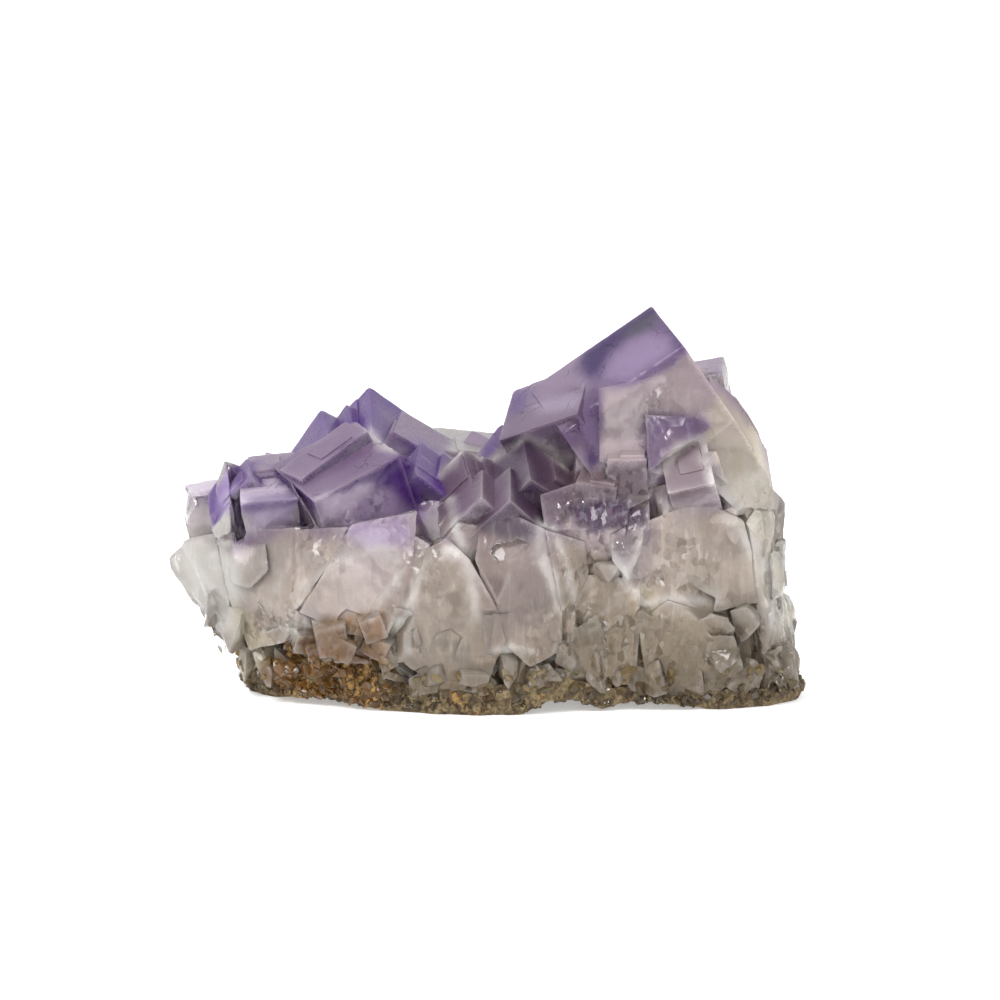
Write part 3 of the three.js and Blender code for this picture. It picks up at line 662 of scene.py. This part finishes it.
def hollowness(places, edges, normals, rounds):
    """How far each point lies below the mean surface round it in millimetres, negative on ridges."""
    settled = smooth(places, edges, np.ones(len(places)), rounds)
    return ((settled - places) * normals).sum(axis=1)


def facing_front(places, normals):
    """Share from 0 to 1 by which each point belongs to the front and looks forward."""
    return ramp(-(normals @ np.array(FORWARD)), 0.02, 0.2) * ramp(-places[:, 1], -6.0, -2.0)


def painted_front(places, normals, colours):
    """Colours with the front's zones, some of them painted glow or shadow, and painted edge highlights laid
    over them where the surface looks forward.
    """
    points = picture_points(places)
    points = points + 2.0 * np.stack([noise_at(places, 1.1, 3, 21), noise_at(places, 1.1, 3, 22)], axis=1)
    facing = facing_front(places, normals)
    for outline, colour, strength, soft in FRONT_ZONES.values():
        share = facing * strength * ramp(inside(points, outline), -soft, soft)
        colours = mix(colours, tone(colour), share)
    gaps = 0.5 + 0.5 * ramp(noise_at(places, 1.6, 2, 23), -0.4, 0.2)
    # Painted highlights along the cleavage edges
    for line, width, strength in EDGE_HIGHLIGHT_LINES:
        share = facing * strength * gaps * ramp(-away_from(points, line), -width, -0.3 * width)
        colours = mix(colours, tone(EDGE_HIGHLIGHT_TONE), share)
    return colours


def splintery(places, normals):
    """Share of finely splintered surface, from 0 to 1."""
    points = picture_points(places)
    facing = facing_front(places, normals)
    share = ramp(noise_at(places, 7.0, 2, 51), 0.1, 0.5)
    for outline in SPLINTERY.values():
        share = np.maximum(share, facing * ramp(inside(points, outline), -8, 8))
    return share


# Materials


class Graph:
    """Short helper for a material's node tree."""

    def __init__(self, name):
        self.material = bpy.data.materials.new(name)
        self.material.use_nodes = True
        self.nodes = self.material.node_tree.nodes
        self.links = self.material.node_tree.links
        self.shader = self.nodes["Principled BSDF"]
        self.output = self.nodes["Material Output"]
        coordinates = self.nodes.new("ShaderNodeTexCoord")
        scale = self.nodes.new("ShaderNodeVectorMath")
        scale.operation = "SCALE"
        scale.inputs["Scale"].default_value = 1 / MM
        self.links.new(coordinates.outputs["Object"], scale.inputs[0])
        self.place = scale.outputs[0]

    def put(self, socket, value):
        if hasattr(value, "links"):
            self.links.new(value, socket)
        else:
            socket.default_value = value

    def attribute(self, name, output="Fac"):
        node = self.nodes.new("ShaderNodeAttribute")
        node.attribute_name = name
        return node.outputs[output]

    def noise(self, size, detail=3.0, rough=0.55, distortion=0.0, place=None):
        node = self.nodes.new("ShaderNodeTexNoise")
        node.inputs["Scale"].default_value = 1 / size
        node.inputs["Detail"].default_value = detail
        node.inputs["Roughness"].default_value = rough
        node.inputs["Distortion"].default_value = distortion
        self.links.new(place or self.place, node.inputs["Vector"])
        return node.outputs["Fac"]

    def cells(self, size, feature="F1", place=None, output="Distance"):
        node = self.nodes.new("ShaderNodeTexVoronoi")
        node.feature = feature
        node.inputs["Scale"].default_value = 1 / size
        self.links.new(place or self.place, node.inputs["Vector"])
        return node.outputs[output]

    def vector(self, operation, a, b, c=(0, 0, 0)):
        node = self.nodes.new("ShaderNodeVectorMath")
        node.operation = operation
        for socket, value in zip(node.inputs, (a, b, c)):
            self.put(socket, value)
        return node.outputs[0]

    def warped(self, size, amount, place=None):
        """Object coordinates pushed about by noise."""
        node = self.nodes.new("ShaderNodeTexNoise")
        node.inputs["Scale"].default_value = 1 / size
        node.inputs["Detail"].default_value = 2.0
        self.links.new(self.place, node.inputs["Vector"])
        return self.vector("MULTIPLY_ADD", node.outputs["Color"], (amount,) * 3, place or self.place)

    def facets(self, colour, strength, below=None):
        """Normals leaning by a different amount in each cell of a broken surface."""
        lean = self.vector("SUBTRACT", colour, (0.5, 0.5, 0.5))
        scaled = self.nodes.new("ShaderNodeVectorMath")
        scaled.operation = "SCALE"
        self.links.new(lean, scaled.inputs[0])
        self.put(scaled.inputs["Scale"], strength)
        if below is None:
            below = self.nodes.new("ShaderNodeNewGeometry").outputs["Normal"]
        return self.vector("NORMALIZE", self.vector("ADD", below, scaled.outputs[0]), (0, 0, 0))

    def math(self, operation, a, b):
        node = self.nodes.new("ShaderNodeMath")
        node.operation = operation
        for socket, value in zip(node.inputs, (a, b)):
            self.put(socket, value)
        return node.outputs[0]

    def span(self, value, low, high, to_low=0.0, to_high=1.0):
        node = self.nodes.new("ShaderNodeMapRange")
        node.interpolation_type = "SMOOTHSTEP"
        for key, number in (("From Min", low), ("From Max", high), ("To Min", to_low), ("To Max", to_high)):
            self.put(node.inputs[key], number)
        self.links.new(value, node.inputs["Value"])
        return node.outputs["Result"]

    def blend(self, share, a, b, kind="MIX"):
        node = self.nodes.new("ShaderNodeMix")
        node.data_type = "RGBA"
        node.blend_type = kind
        self.put(node.inputs["Factor"], share)
        for socket, value in ((node.inputs[6], a), (node.inputs[7], b)):
            self.put(socket, (*value, 1.0) if isinstance(value, tuple) else value)
        return node.outputs[2]

    def bump(self, height, distance, strength=1.0, below=None):
        node = self.nodes.new("ShaderNodeBump")
        node.inputs["Distance"].default_value = distance * MM
        self.put(node.inputs["Strength"], strength)
        self.links.new(height, node.inputs["Height"])
        if below is not None:
            self.links.new(below, node.inputs["Normal"])
        return node.outputs[0]


def crystal_material():
    """Clear crystal with fracture veils inside its broken parts and a satin bloom on its faces."""
    g = Graph("fluorite")
    tint = g.attribute("tint", "Color")
    frost = g.attribute("frost")
    broken = g.attribute("broken")
    hackly = g.attribute("hackly")
    long = g.vector("MULTIPLY", g.place, (1.0, 1.0, 0.5))
    wavy = g.warped(3.0, 1.6, long)
    crumpled = g.warped(1.0, 1.3, g.vector("MULTIPLY", g.place, (1.0, 1.0, 0.6)))
    fine = g.noise(0.3, 3.0, 0.6)
    cloud = g.noise(2.4, 4.0, 0.55, 0.4)
    streaks = g.noise(0.5, 3.0, 0.6, place=g.vector("MULTIPLY", g.warped(4.0, 0.5), (1.0, 1.0, 0.12)))

    domains = g.cells(3.4, place=wavy, output="Color")
    splinters = g.cells(0.6, place=crumpled, output="Color")
    domain = g.math("MULTIPLY", domains, broken)
    splinter = g.math("MULTIPLY", splinters, hackly)
    toned = g.blend(g.span(domain, 0.0, 1.0, 0.0, 0.38), tint, (0.62, 0.60, 0.58), "MULTIPLY")
    toned = g.blend(g.span(cloud, 0.4, 0.75, 0.0, 0.25), toned, (0.75, 0.71, 0.72), "MULTIPLY")
    streak = g.math("MULTIPLY", g.span(streaks, 0.5, 0.75, 0.0, 0.14), broken)
    toned = g.blend(streak, toned, (0.85, 0.83, 0.82))
    toned = g.blend(g.span(splinter, 0.3, 0.9, 0.0, 0.35), toned, (0.55, 0.51, 0.48), "MULTIPLY")
    toned = g.blend(g.span(fine, 0.35, 0.7, 0.0, 0.2), toned, (0.70, 0.68, 0.68), "MULTIPLY")
    crack = g.span(g.cells(5.0, "DISTANCE_TO_EDGE", crumpled), 0.014, 0.004)
    crack = g.math("MULTIPLY", g.math("MULTIPLY", crack, frost), g.span(g.noise(2.6, 2.0), 0.5, 0.56))
    toned = g.blend(g.math("MULTIPLY", crack, 0.75), toned, (0.38, 0.28, 0.42), "MULTIPLY")
    specks = g.span(g.cells(0.9), 0.08, 0.02, 0.0, 0.3)
    g.put(g.shader.inputs["Base Color"], g.blend(specks, toned, (0.35, 0.28, 0.38), "MULTIPLY"))

    clear_rough = g.span(cloud, 0.35, 0.7, 0.08, 0.26)
    frost_rough = g.span(fine, 0.3, 0.7, 0.32, 0.5)
    mixed = g.nodes.new("ShaderNodeMix")
    g.put(mixed.inputs[0], frost)
    g.put(mixed.inputs[2], clear_rough)
    g.put(mixed.inputs[3], frost_rough)
    g.put(g.shader.inputs["Roughness"], mixed.outputs[0])

    leaning = g.facets(domains, g.math("MULTIPLY", broken, 0.30))
    leaning = g.facets(splinters, g.math("MULTIPLY", hackly, 0.8), leaning)
    g.put(g.shader.inputs["Normal"], g.bump(fine, 0.02, 0.5, leaning))

    g.put(g.shader.inputs["Transmission Weight"], g.span(frost, 0.0, 1.0, 0.55, 0.3))
    g.shader.inputs["IOR"].default_value = 1.434
    g.shader.inputs["Specular IOR Level"].default_value = 0.4
    g.shader.inputs["Coat Weight"].default_value = 0.12
    g.shader.inputs["Coat Roughness"].default_value = 0.1
    g.shader.inputs["Subsurface Weight"].default_value = 0.4
    g.shader.inputs["Subsurface Radius"].default_value = (1.0, 0.85, 0.9)
    g.shader.inputs["Subsurface Scale"].default_value = 1.4 * MM
    absorb = g.nodes.new("ShaderNodeVolumeAbsorption")
    absorb.inputs["Color"].default_value = (0.80, 0.76, 0.72, 1.0)
    absorb.inputs["Density"].default_value = 40.0
    g.links.new(absorb.outputs[0], g.output.inputs["Volume"])
    return g.material


def rock_material():
    """Dark rusty vein rock with grey and ochre grains."""
    g = Graph("rock")
    patch = g.noise(3.0, 4.0, 0.6, 0.6)
    fine = g.noise(0.5, 5.0, 0.65)
    grains = g.cells(0.7, place=g.warped(1.0, 0.5), output="Color")
    dark = g.blend(g.span(fine, 0.3, 0.7), (0.028, 0.018, 0.009), (0.115, 0.075, 0.036))
    grey = g.blend(g.span(fine, 0.3, 0.7), (0.085, 0.060, 0.028), (0.25, 0.185, 0.095))
    golden = g.blend(g.span(grains, 0.35, 0.7), (0.10, 0.048, 0.014), (0.40, 0.235, 0.075))
    rust = g.blend(g.span(fine, 0.3, 0.62), (0.045, 0.024, 0.01), golden)
    base = g.blend(g.span(grains, 0.3, 0.7), dark, grey)
    stained = g.math("ADD", patch, g.math("MULTIPLY", g.attribute("rust"), 0.2))
    base = g.blend(g.span(stained, 0.6, 0.72), base, rust)
    g.put(g.shader.inputs["Base Color"], base)
    g.shader.inputs["Roughness"].default_value = 0.8
    coarse = g.bump(g.cells(0.7, place=g.warped(1.0, 0.5)), 0.3, 0.6)
    g.put(g.shader.inputs["Normal"], g.bump(fine, 0.25, 0.8, coarse))
    return g.material


# Detail of the crystal mass


def seat_of(at, corner, edges, turn):
    """Middle, half edges and turn of a crystal that hangs from its corner."""
    turned = rotation(turn)
    half = 0.5 * Vector(edges)
    centre = Vector(at) - turned @ Vector([h * c for h, c in zip(half, corner)]) + LAYOUT_SHIFT
    return centre, half, turned


def tree_round(solids):
    """Search tree over the faces of some solids."""
    bm = bmesh.new()
    for solid in solids:
        bm.from_mesh(solid.data)
    tree = BVHTree.FromBMesh(bm)
    bm.free()
    return tree


def layers_on(rng, at, corner, edges, turn):
    """Thin growth plates on the outer faces of one crystal, each lined up with its edges."""
    centre, half, turned = seat_of(at, corner, edges, turn)
    plates = []
    for axis in range(3):
        for sign in (-1, 1):
            outward = sign * turned.col[axis]
            if outward.z < 0.25 and outward.y < 0.35:
                continue
            for _ in range(rng.integers(0, 2)):
                size = Vector([e * rng.uniform(0.35, 0.9) for e in edges])
                place = Vector([rng.uniform(-1, 1) * (h - 0.5 * s) for h, s in zip(half, size)])
                thick = rng.uniform(0.06, 0.2)
                size[axis] = 1.0
                place[axis] = sign * (half[axis] - 0.5 + thick)
                tilt = Matrix.Rotation(math.radians(rng.uniform(-1.5, 1.5)), 3, "X")
                plates.append(box_of(centre + turned @ place, size, turned @ tilt, "layer"))
    return plates


def young_on(rng, at, corner, edges, turn):
    """Small cubes that grew on one crystal, nearly lined up with it."""
    centre, half, turned = seat_of(at, corner, edges, turn)
    cubes = []
    for _ in range(rng.integers(0, 3)):
        edge = rng.uniform(0.6, 1.5)
        place = Vector([rng.choice((-1, 1)) * h * rng.uniform(0.5, 1.0) for h in half])
        tilt = rotation([rng.uniform(-9, 9) for _ in range(3)])
        size = [edge * rng.uniform(0.8, 1.3) for _ in range(3)]
        if (turned @ place).z > -0.1 * half.length:
            cubes.append(box_of(centre + turned @ place, size, turned @ tilt, "young"))
    return cubes


def fragment(rng, hit, normal, width, thick, tilt, name):
    """Prism on a surface that reaches thick into it, leaning by up to tilt degrees."""
    count = rng.integers(4, 7)
    stretch = rng.uniform(1.0, 1.8)
    points = []
    for level, shrink in ((-thick, rng.uniform(0.7, 1.0)), (1.2, 1.2)):
        for k in range(count):
            angle = (k + rng.uniform(-0.3, 0.3)) * 2 * math.pi / count
            reach = 0.5 * width * shrink
            points.append(Vector((reach * math.cos(angle), stretch * reach * math.sin(angle), level)))
    spin = Matrix.Rotation(rng.uniform(0, math.pi), 3, "Z")
    lean = Matrix.Rotation(math.radians(rng.choice((-1, 1)) * rng.uniform(0.4, 1) * tilt), 3, "X")
    turned = normal.to_track_quat("Z", "Y").to_matrix() @ spin @ lean
    return hull_of([hit + turned @ p for p in points], name)


def wall_hits(solid, rng, count, lowest, highest, foremost=-1.0):
    """Random places on the broken wall, seen from outside, with their normals."""
    tree = tree_round([solid])
    found = []
    for _ in range(count):
        angle = rng.uniform(0, 2 * math.pi)
        origin = Vector((OUTSIDE * math.cos(angle), OUTSIDE * math.sin(angle), rng.uniform(lowest, highest)))
        aim = Vector((rng.uniform(-26, 26), rng.uniform(-8, 8), origin.z + rng.uniform(-3, 3)))
        hit, normal, _, _ = tree.ray_cast(origin, (aim - origin).normalized())
        if hit is None or abs(normal.z) > 0.75 or normal.y < foremost:
            continue
        if tree.ray_cast(hit + normal * 0.1, normal)[0] is None:
            found.append((hit, normal))
    return found


def wedged_on(rng, solids):
    """Small crystals seated among the large ones, as deep as the surface round each one lies."""
    tree = tree_round(solids)
    found = []
    for row in WEDGED + STAINED_CUBES:
        px, py, width, height, out, turn = row
        depths = []
        for k in range(16):
            angle = 2 * math.pi * k / 16
            side = POINTS_PER_MM * (0.5 * width + 0.5) * math.cos(angle)
            rise = POINTS_PER_MM * (0.5 * height + 0.5) * math.sin(angle)
            _, _, _, far = tree.ray_cast(EYE, sight_line(px + side, py + rise))
            if far is not None:
                depths.append(far)
        deep = 0.6 * (width + height)
        centre = EYE + sight_line(px, py) * (sorted(depths)[len(depths) // 3] + 0.5 * deep - out)
        turned = rotation(turn)
        size = Vector((width, deep, height))
        if row in STAINED_CUBES:
            found.append(box_of(centre, size, turned, "wedged"))
            continue
        corners = [
            centre + turned @ Vector([0.5 * v * w for v, w in zip(size, rng.uniform(-1.1, 1.1, 3))])
            for _ in range(22)
        ]
        found.append(hull_of(corners, "wedged"))
    return found


def detailed_crystals():
    """The node's solid with growth plates, young cubes, cleavage steps and chips."""
    rng = np.random.default_rng(CRYSTAL_SEED)
    solid = node_solid("fluorite_crystals")
    stone = node_solid("rock_matrix")
    added = wedged_on(rng, [solid, stone])
    bpy.data.objects.remove(stone)
    at, corner, edges, turn, *_ = CRYSTALS[-2]
    centre, _, turned = seat_of(at, corner, edges, turn)
    added.append(box_of(centre, edges, turned, "shoulder"))
    for at, corner, edges, turn, *_ in CRYSTALS[:-1]:
        added += layers_on(rng, at, corner, edges, turn)
        added += young_on(rng, at, corner, edges, turn)
    chips = [
        fragment(rng, hit, normal, rng.uniform(3.5, 9.0), rng.uniform(-0.05, 0.08), 9, "facet")
        for hit, normal in wall_hits(solid, rng, 90, 5, 21, -0.5)
    ] + [
        fragment(rng, hit, normal, rng.uniform(1.0, 3.2), rng.uniform(0.0, 0.2), 20, "chip")
        for hit, normal in wall_hits(solid, rng, 60, 0.5, 9, -0.5) + wall_hits(solid, rng, 30, 2, 12)
    ]
    solid = combine(solid, chips, "DIFFERENCE")
    return combine(solid, added, "UNION")


# Pieces


def crystal_piece(material):
    """The crystal mass: edges worn round, faces etched or stepped, and growth zones as colour, with painted
    glow, highlights and crease shade.
    """
    places, tris = without_crumbs(*arrays_of(detailed_crystals()), CRUMB)
    places, tris = split_long(places, tris, lambda p: np.where(p[:, 1] < FRONT_DEPTH, FRONT_EDGE, REAR_EDGE))
    edges, bend = bends(places, tris)
    sharpest = np.zeros(len(places))
    for k in (0, 1):
        np.maximum.at(sharpest, edges[:, k], bend)
    places = smooth(places, edges, np.where(sharpest < FLAT_BEND, 0.5, 0.0), 8)
    worn = (sharpest > SHARP_BEND) & (places[:, 2] < 20)
    places = smooth(places, edges, np.where(worn, 0.6, 0.0), 6)
    places = smooth(places, edges, np.full(len(places), 0.3), 1)
    _, normals = normals_of(places, tris)

    coarse = noise_at(places, 2.4, 3, 3)
    fine = noise_at(places, 0.9, 2, 5)
    zone, frost, face = growth(places, normals)
    lift = np.where(frost > 0.5, 0.02 * coarse + 0.015 * fine, 0.10 * coarse + 0.04 * fine)
    ends = ramp(np.abs(places[:, 0]), 24.0, 29.0) * (1 - frost)
    lift = lift + 0.6 * ends * noise_at(places, 4.0, 2, 13)
    places = places + normals * lift[:, None]
    places, tris = thinned(places, tris, MOST_FACES)
    edges, bend = bends(places, tris)
    _, normals = normals_of(places, tris)

    zone, frost, face = growth(places, normals)
    thin = np.exp(-thickness(places, tris, normals) / 6.0)
    hollow = hollowness(places, edges, normals, 4)
    cloud = noise_at(places, 4.5, 3, 9)
    body = mix(tone(THICK_BODY), tone(TOP_BODY), ramp(places[:, 2], 9, 20) * 0.7)
    # Painted light: the body turns lighter where the crystal is thin, as if lit through, and stays darker
    # where thick
    body = mix(body, tone(THIN_GLOW_BODY), np.clip(thin * 1.2 + 0.12 * cloud, 0, 1))
    body = mix(body, tone(LOW_BODY), ramp(-places[:, 2] + 2.0 * cloud, -10.0, -2.0) * 0.8)
    tint = mix(body, tone(DEEP), np.clip(zone * 1.1, 0, 1))
    face = mix(face, tone(FACES["lilac"]), 0.4 * ramp(noise_at(places, 6.0, 3, 61), -0.3, 0.5))
    tint = mix(tint, face, frost)
    tint = painted_front(places, normals, tint)
    # Painted highlight on convex ridges below the tops
    tint = mix(tint, tone(RIDGE_HIGHLIGHT), ramp(-hollow, 0.03, 0.12) * 0.3 * ramp(-places[:, 2], -26, -20))
    low = ramp(-places[:, 2], -12.0, -3.0)
    # Creases darken: painted shade all over, with dirt added toward the bottom
    tint = mix(tint, tone(DIRT_AND_CREASE_SHADE), ramp(hollow, 0.03, 0.14) * (0.04 + 0.46 * low))
    broken = (1 - frost) * ramp(-zone, -0.6, -0.2)
    tint = smooth(tint, edges, np.full(len(places), 0.5), 2)
    shares = np.stack([frost, broken, frost], axis=1)
    frost, broken = smooth(shares, edges, np.full(len(places), 0.5), 3).T[:2]
    hackly = broken * splintery(places, normals)
    piece = make_object(places, tris, "fluorite", {
        "tint": tint, "frost": frost, "broken": broken, "hackly": hackly,
    })
    piece.data.materials.append(material)
    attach(piece, "root")
    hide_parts("fluorite_crystals")
    return places, tris


def rock_arrays():
    """The rock, rough all over and raised to meet the crystals. Its underside stays as it is."""
    places, tris = arrays_of(node_solid("rock_matrix"))
    places, tris = split_long(places, tris, lambda p: np.full(len(p), ROCK_EDGE))
    edges, _ = bends(places, tris)
    places = smooth(places, edges, np.full(len(places), 0.3), 2)
    _, normals = normals_of(places, tris)
    above = ramp(places[:, 2], 0.3, 1.0)
    places[:, 2] += ROCK_RISE * above * ramp(normals[:, 2], 0.0, 0.6)
    lift = 0.3 * noise_at(places, 2.0, 4, 7) + 0.15 * noise_at(places, 0.8, 2, 8)
    places = places + normals * (lift * above)[:, None]
    places[:, 2] = np.maximum(places[:, 2], 0.0)
    return places, tris


def rusty(places):
    """Share of ochre staining, strongest in the pocket at the front left."""
    pocket = ramp(-np.abs(places[:, 0] - POCKET_MIDDLE), -8.0, -3.5) * ramp(-places[:, 1], 4.0, 8.0)
    return np.clip(pocket + 0.5 * ramp(noise_at(places, 6.0, 2, 31), 0.25, 0.6), 0, 1)


def rock_piece(places, tris, material):
    piece = make_object(places, tris, "rock", {"rust": rusty(places)})
    piece.data.materials.append(material)
    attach(piece, "root")
    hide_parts("rock_matrix")


def pebble(rng):
    """Irregular convex grain about one across, as arrays."""
    points = rng.normal(size=(14, 3))
    points *= (0.5 * rng.uniform(0.85, 1.05, 14) / np.linalg.norm(points, axis=1))[:, None]
    return arrays_of(hull_of([Vector(p) for p in points], "pebble"))


def rim_hits(tree, rng, count, highest, middle=None):
    """Random places low on the sides with their normals, all round or at one stretch of the front."""
    found = []
    for _ in range(count):
        angle = rng.uniform(0, 2 * math.pi)
        height = highest * rng.uniform(0.05, 1) ** 1.5
        origin = Vector((OUTSIDE * math.cos(angle), OUTSIDE * math.sin(angle), height))
        aim = Vector((rng.uniform(-28, 28), rng.uniform(-8, 8), height))
        if middle is not None:
            across = rng.normal(middle, POCKET_SPREAD)
            origin = Vector((across, -OUTSIDE, height))
            aim = Vector((across, 0, height))
        hit, normal, _, _ = tree.ray_cast(origin, (aim - origin).normalized())
        if hit is not None:
            found.append((np.array(hit), np.array(normal)))
    return found


def scattered(rng, hits, small, large):
    """Grains half sunk in the surface at these places, joined as arrays."""
    shapes = [pebble(rng) for _ in range(10)]
    all_places, all_tris, count = [], [], 0
    for hit, normal in hits:
        places, tris = shapes[rng.integers(len(shapes))]
        size = rng.uniform(small, large) * rng.uniform(0.7, 1.2, 3)
        turned = np.array(rotation([rng.uniform(0, 360) for _ in range(3)]))
        centre = hit - normal * 0.15 * size.mean()
        centre[2] = max(centre[2], 0.62 * size.max())
        all_places.append((places * size) @ turned.T + centre)
        all_tris.append(tris + count)
        count += len(places)
    return np.concatenate(all_places), np.concatenate(all_tris)


def grains(crystals, rock, clear_material, dark_material):
    """Small broken grains of crystal and of rock along the foot."""
    rng = np.random.default_rng(GRAIN_SEED)
    places = np.concatenate([crystals[0], rock[0]])
    tris = np.concatenate([crystals[1], rock[1] + len(crystals[0])])
    tree = BVHTree.FromPolygons(places.tolist(), tris.tolist())
    clear = rim_hits(tree, rng, 420, 4.5)
    stained = rim_hits(tree, rng, 130, 6.0, POCKET_MIDDLE)
    dark = rim_hits(tree, rng, 520, 1.6) + rim_hits(tree, rng, 130, 5.0, POCKET_MIDDLE)

    places, tris = scattered(rng, clear + stained, 0.6, 1.8)
    shade = noise_at(places, 2.0, 2, 41)
    tint = mix(tone(LOW_BODY), tone(TOP_GRAIN), ramp(shade, -0.3, 0.5))
    tint = mix(tint, tone(DARK_GRAIN), ramp(-places[:, 2], -3.6, -1.4) * 0.9)
    tint = mix(tint, tone(RUST_GRAIN), 0.8 * rusty(places))
    clear_grains = make_object(places, tris, "crystal_grains", {
        "tint": tint, "frost": np.zeros(len(places)), "broken": np.full(len(places), 0.3),
        "hackly": np.full(len(places), 0.3),
    })
    clear_grains.data.materials.append(clear_material)
    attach(clear_grains, "root")

    places, tris = scattered(rng, dark, 0.4, 1.3)
    dark_grains = make_object(places, tris, "rock_grains", {"rust": rusty(places)})
    dark_grains.data.materials.append(dark_material)
    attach(dark_grains, "root")


# Stage: pale floor, soft light, camera


def floor():
    mesh = bpy.data.meshes.new("floor")
    far = 30.0
    mesh.from_pydata([(-far, -far, 0), (far, -far, 0), (far, far, 0), (-far, far, 0)], [], [(0, 1, 2, 3)])
    obj = bpy.data.objects.new("floor", mesh)
    bpy.context.scene.collection.objects.link(obj)
    material = bpy.data.materials.new("floor")
    material.use_nodes = True
    shader = material.node_tree.nodes["Principled BSDF"]
    shader.inputs["Base Color"].default_value = (0.9, 0.9, 0.9, 1.0)
    shader.inputs["Roughness"].default_value = 0.9
    shader.inputs["Emission Color"].default_value = (1.0, 1.0, 1.0, 1.0)
    shader.inputs["Emission Strength"].default_value = 0.36
    mesh.materials.append(material)


def world(front, back):
    """Soft studio light, brighter from behind the object than from the camera's side."""
    sky = bpy.data.worlds.new("studio")
    sky.use_nodes = True
    nodes, links = sky.node_tree.nodes, sky.node_tree.links
    direction = nodes.new("ShaderNodeTexCoord")
    parts = nodes.new("ShaderNodeSeparateXYZ")
    change = nodes.new("ShaderNodeMapRange")
    change.interpolation_type = "SMOOTHSTEP"
    for key, number in (("From Min", -0.3), ("From Max", 0.5), ("To Min", front), ("To Max", back)):
        change.inputs[key].default_value = number
    links.new(direction.outputs["Generated"], parts.inputs[0])
    links.new(parts.outputs["Y"], change.inputs["Value"])
    links.new(change.outputs["Result"], nodes["Background"].inputs["Strength"])
    nodes["Background"].inputs["Color"].default_value = (1.0, 1.0, 1.0, 1.0)
    bpy.context.scene.world = sky


def softbox(name, place, size, power):
    light = bpy.data.lights.new(name, "AREA")
    light.shape = "DISK"
    light.size = size
    light.energy = power
    obj = bpy.data.objects.new(name, light)
    obj.location = place
    obj.rotation_euler = (Vector((0, 0, 0.02)) - Vector(place)).to_track_quat("-Z", "Y").to_euler()
    bpy.context.scene.collection.objects.link(obj)


def camera():
    data = bpy.data.cameras.new("camera")
    data.sensor_width = 36
    data.lens = data.sensor_width * CAMERA_DISTANCE * POINTS_PER_MM / (2 * PICTURE_MIDDLE)
    data.clip_start = 0.01
    data.clip_end = 100
    obj = bpy.data.objects.new("camera", data)
    obj.location = EYE * MM
    obj.rotation_euler = FORWARD.to_track_quat("-Z", "Y").to_euler()
    bpy.context.scene.collection.objects.link(obj)
    bpy.context.scene.camera = obj


camera()
floor()
world(0.55, 1.2)
softbox("key", (-0.35, -0.35, 0.55), 0.35, 4.0)
softbox("fill", (0.15, -0.75, 0.12), 0.45, 2.2)
softbox("glint", (0.25, -0.5, 0.5), 0.06, 0.9)
bpy.context.scene.view_settings.view_transform = "Standard"
bpy.context.scene.cycles.max_bounces = 5
bpy.context.scene.cycles.diffuse_bounces = 2
bpy.context.scene.cycles.glossy_bounces = 2
bpy.context.scene.cycles.transmission_bounces = 4
bpy.context.scene.cycles.caustics_refractive = False
bpy.context.scene.cycles.caustics_reflective = False

clear_material = crystal_material()
dark_material = rock_material()
crystals = crystal_piece(clear_material)
rock = rock_arrays()
rock_piece(*rock, dark_material)
grains(crystals, rock, clear_material, dark_material)
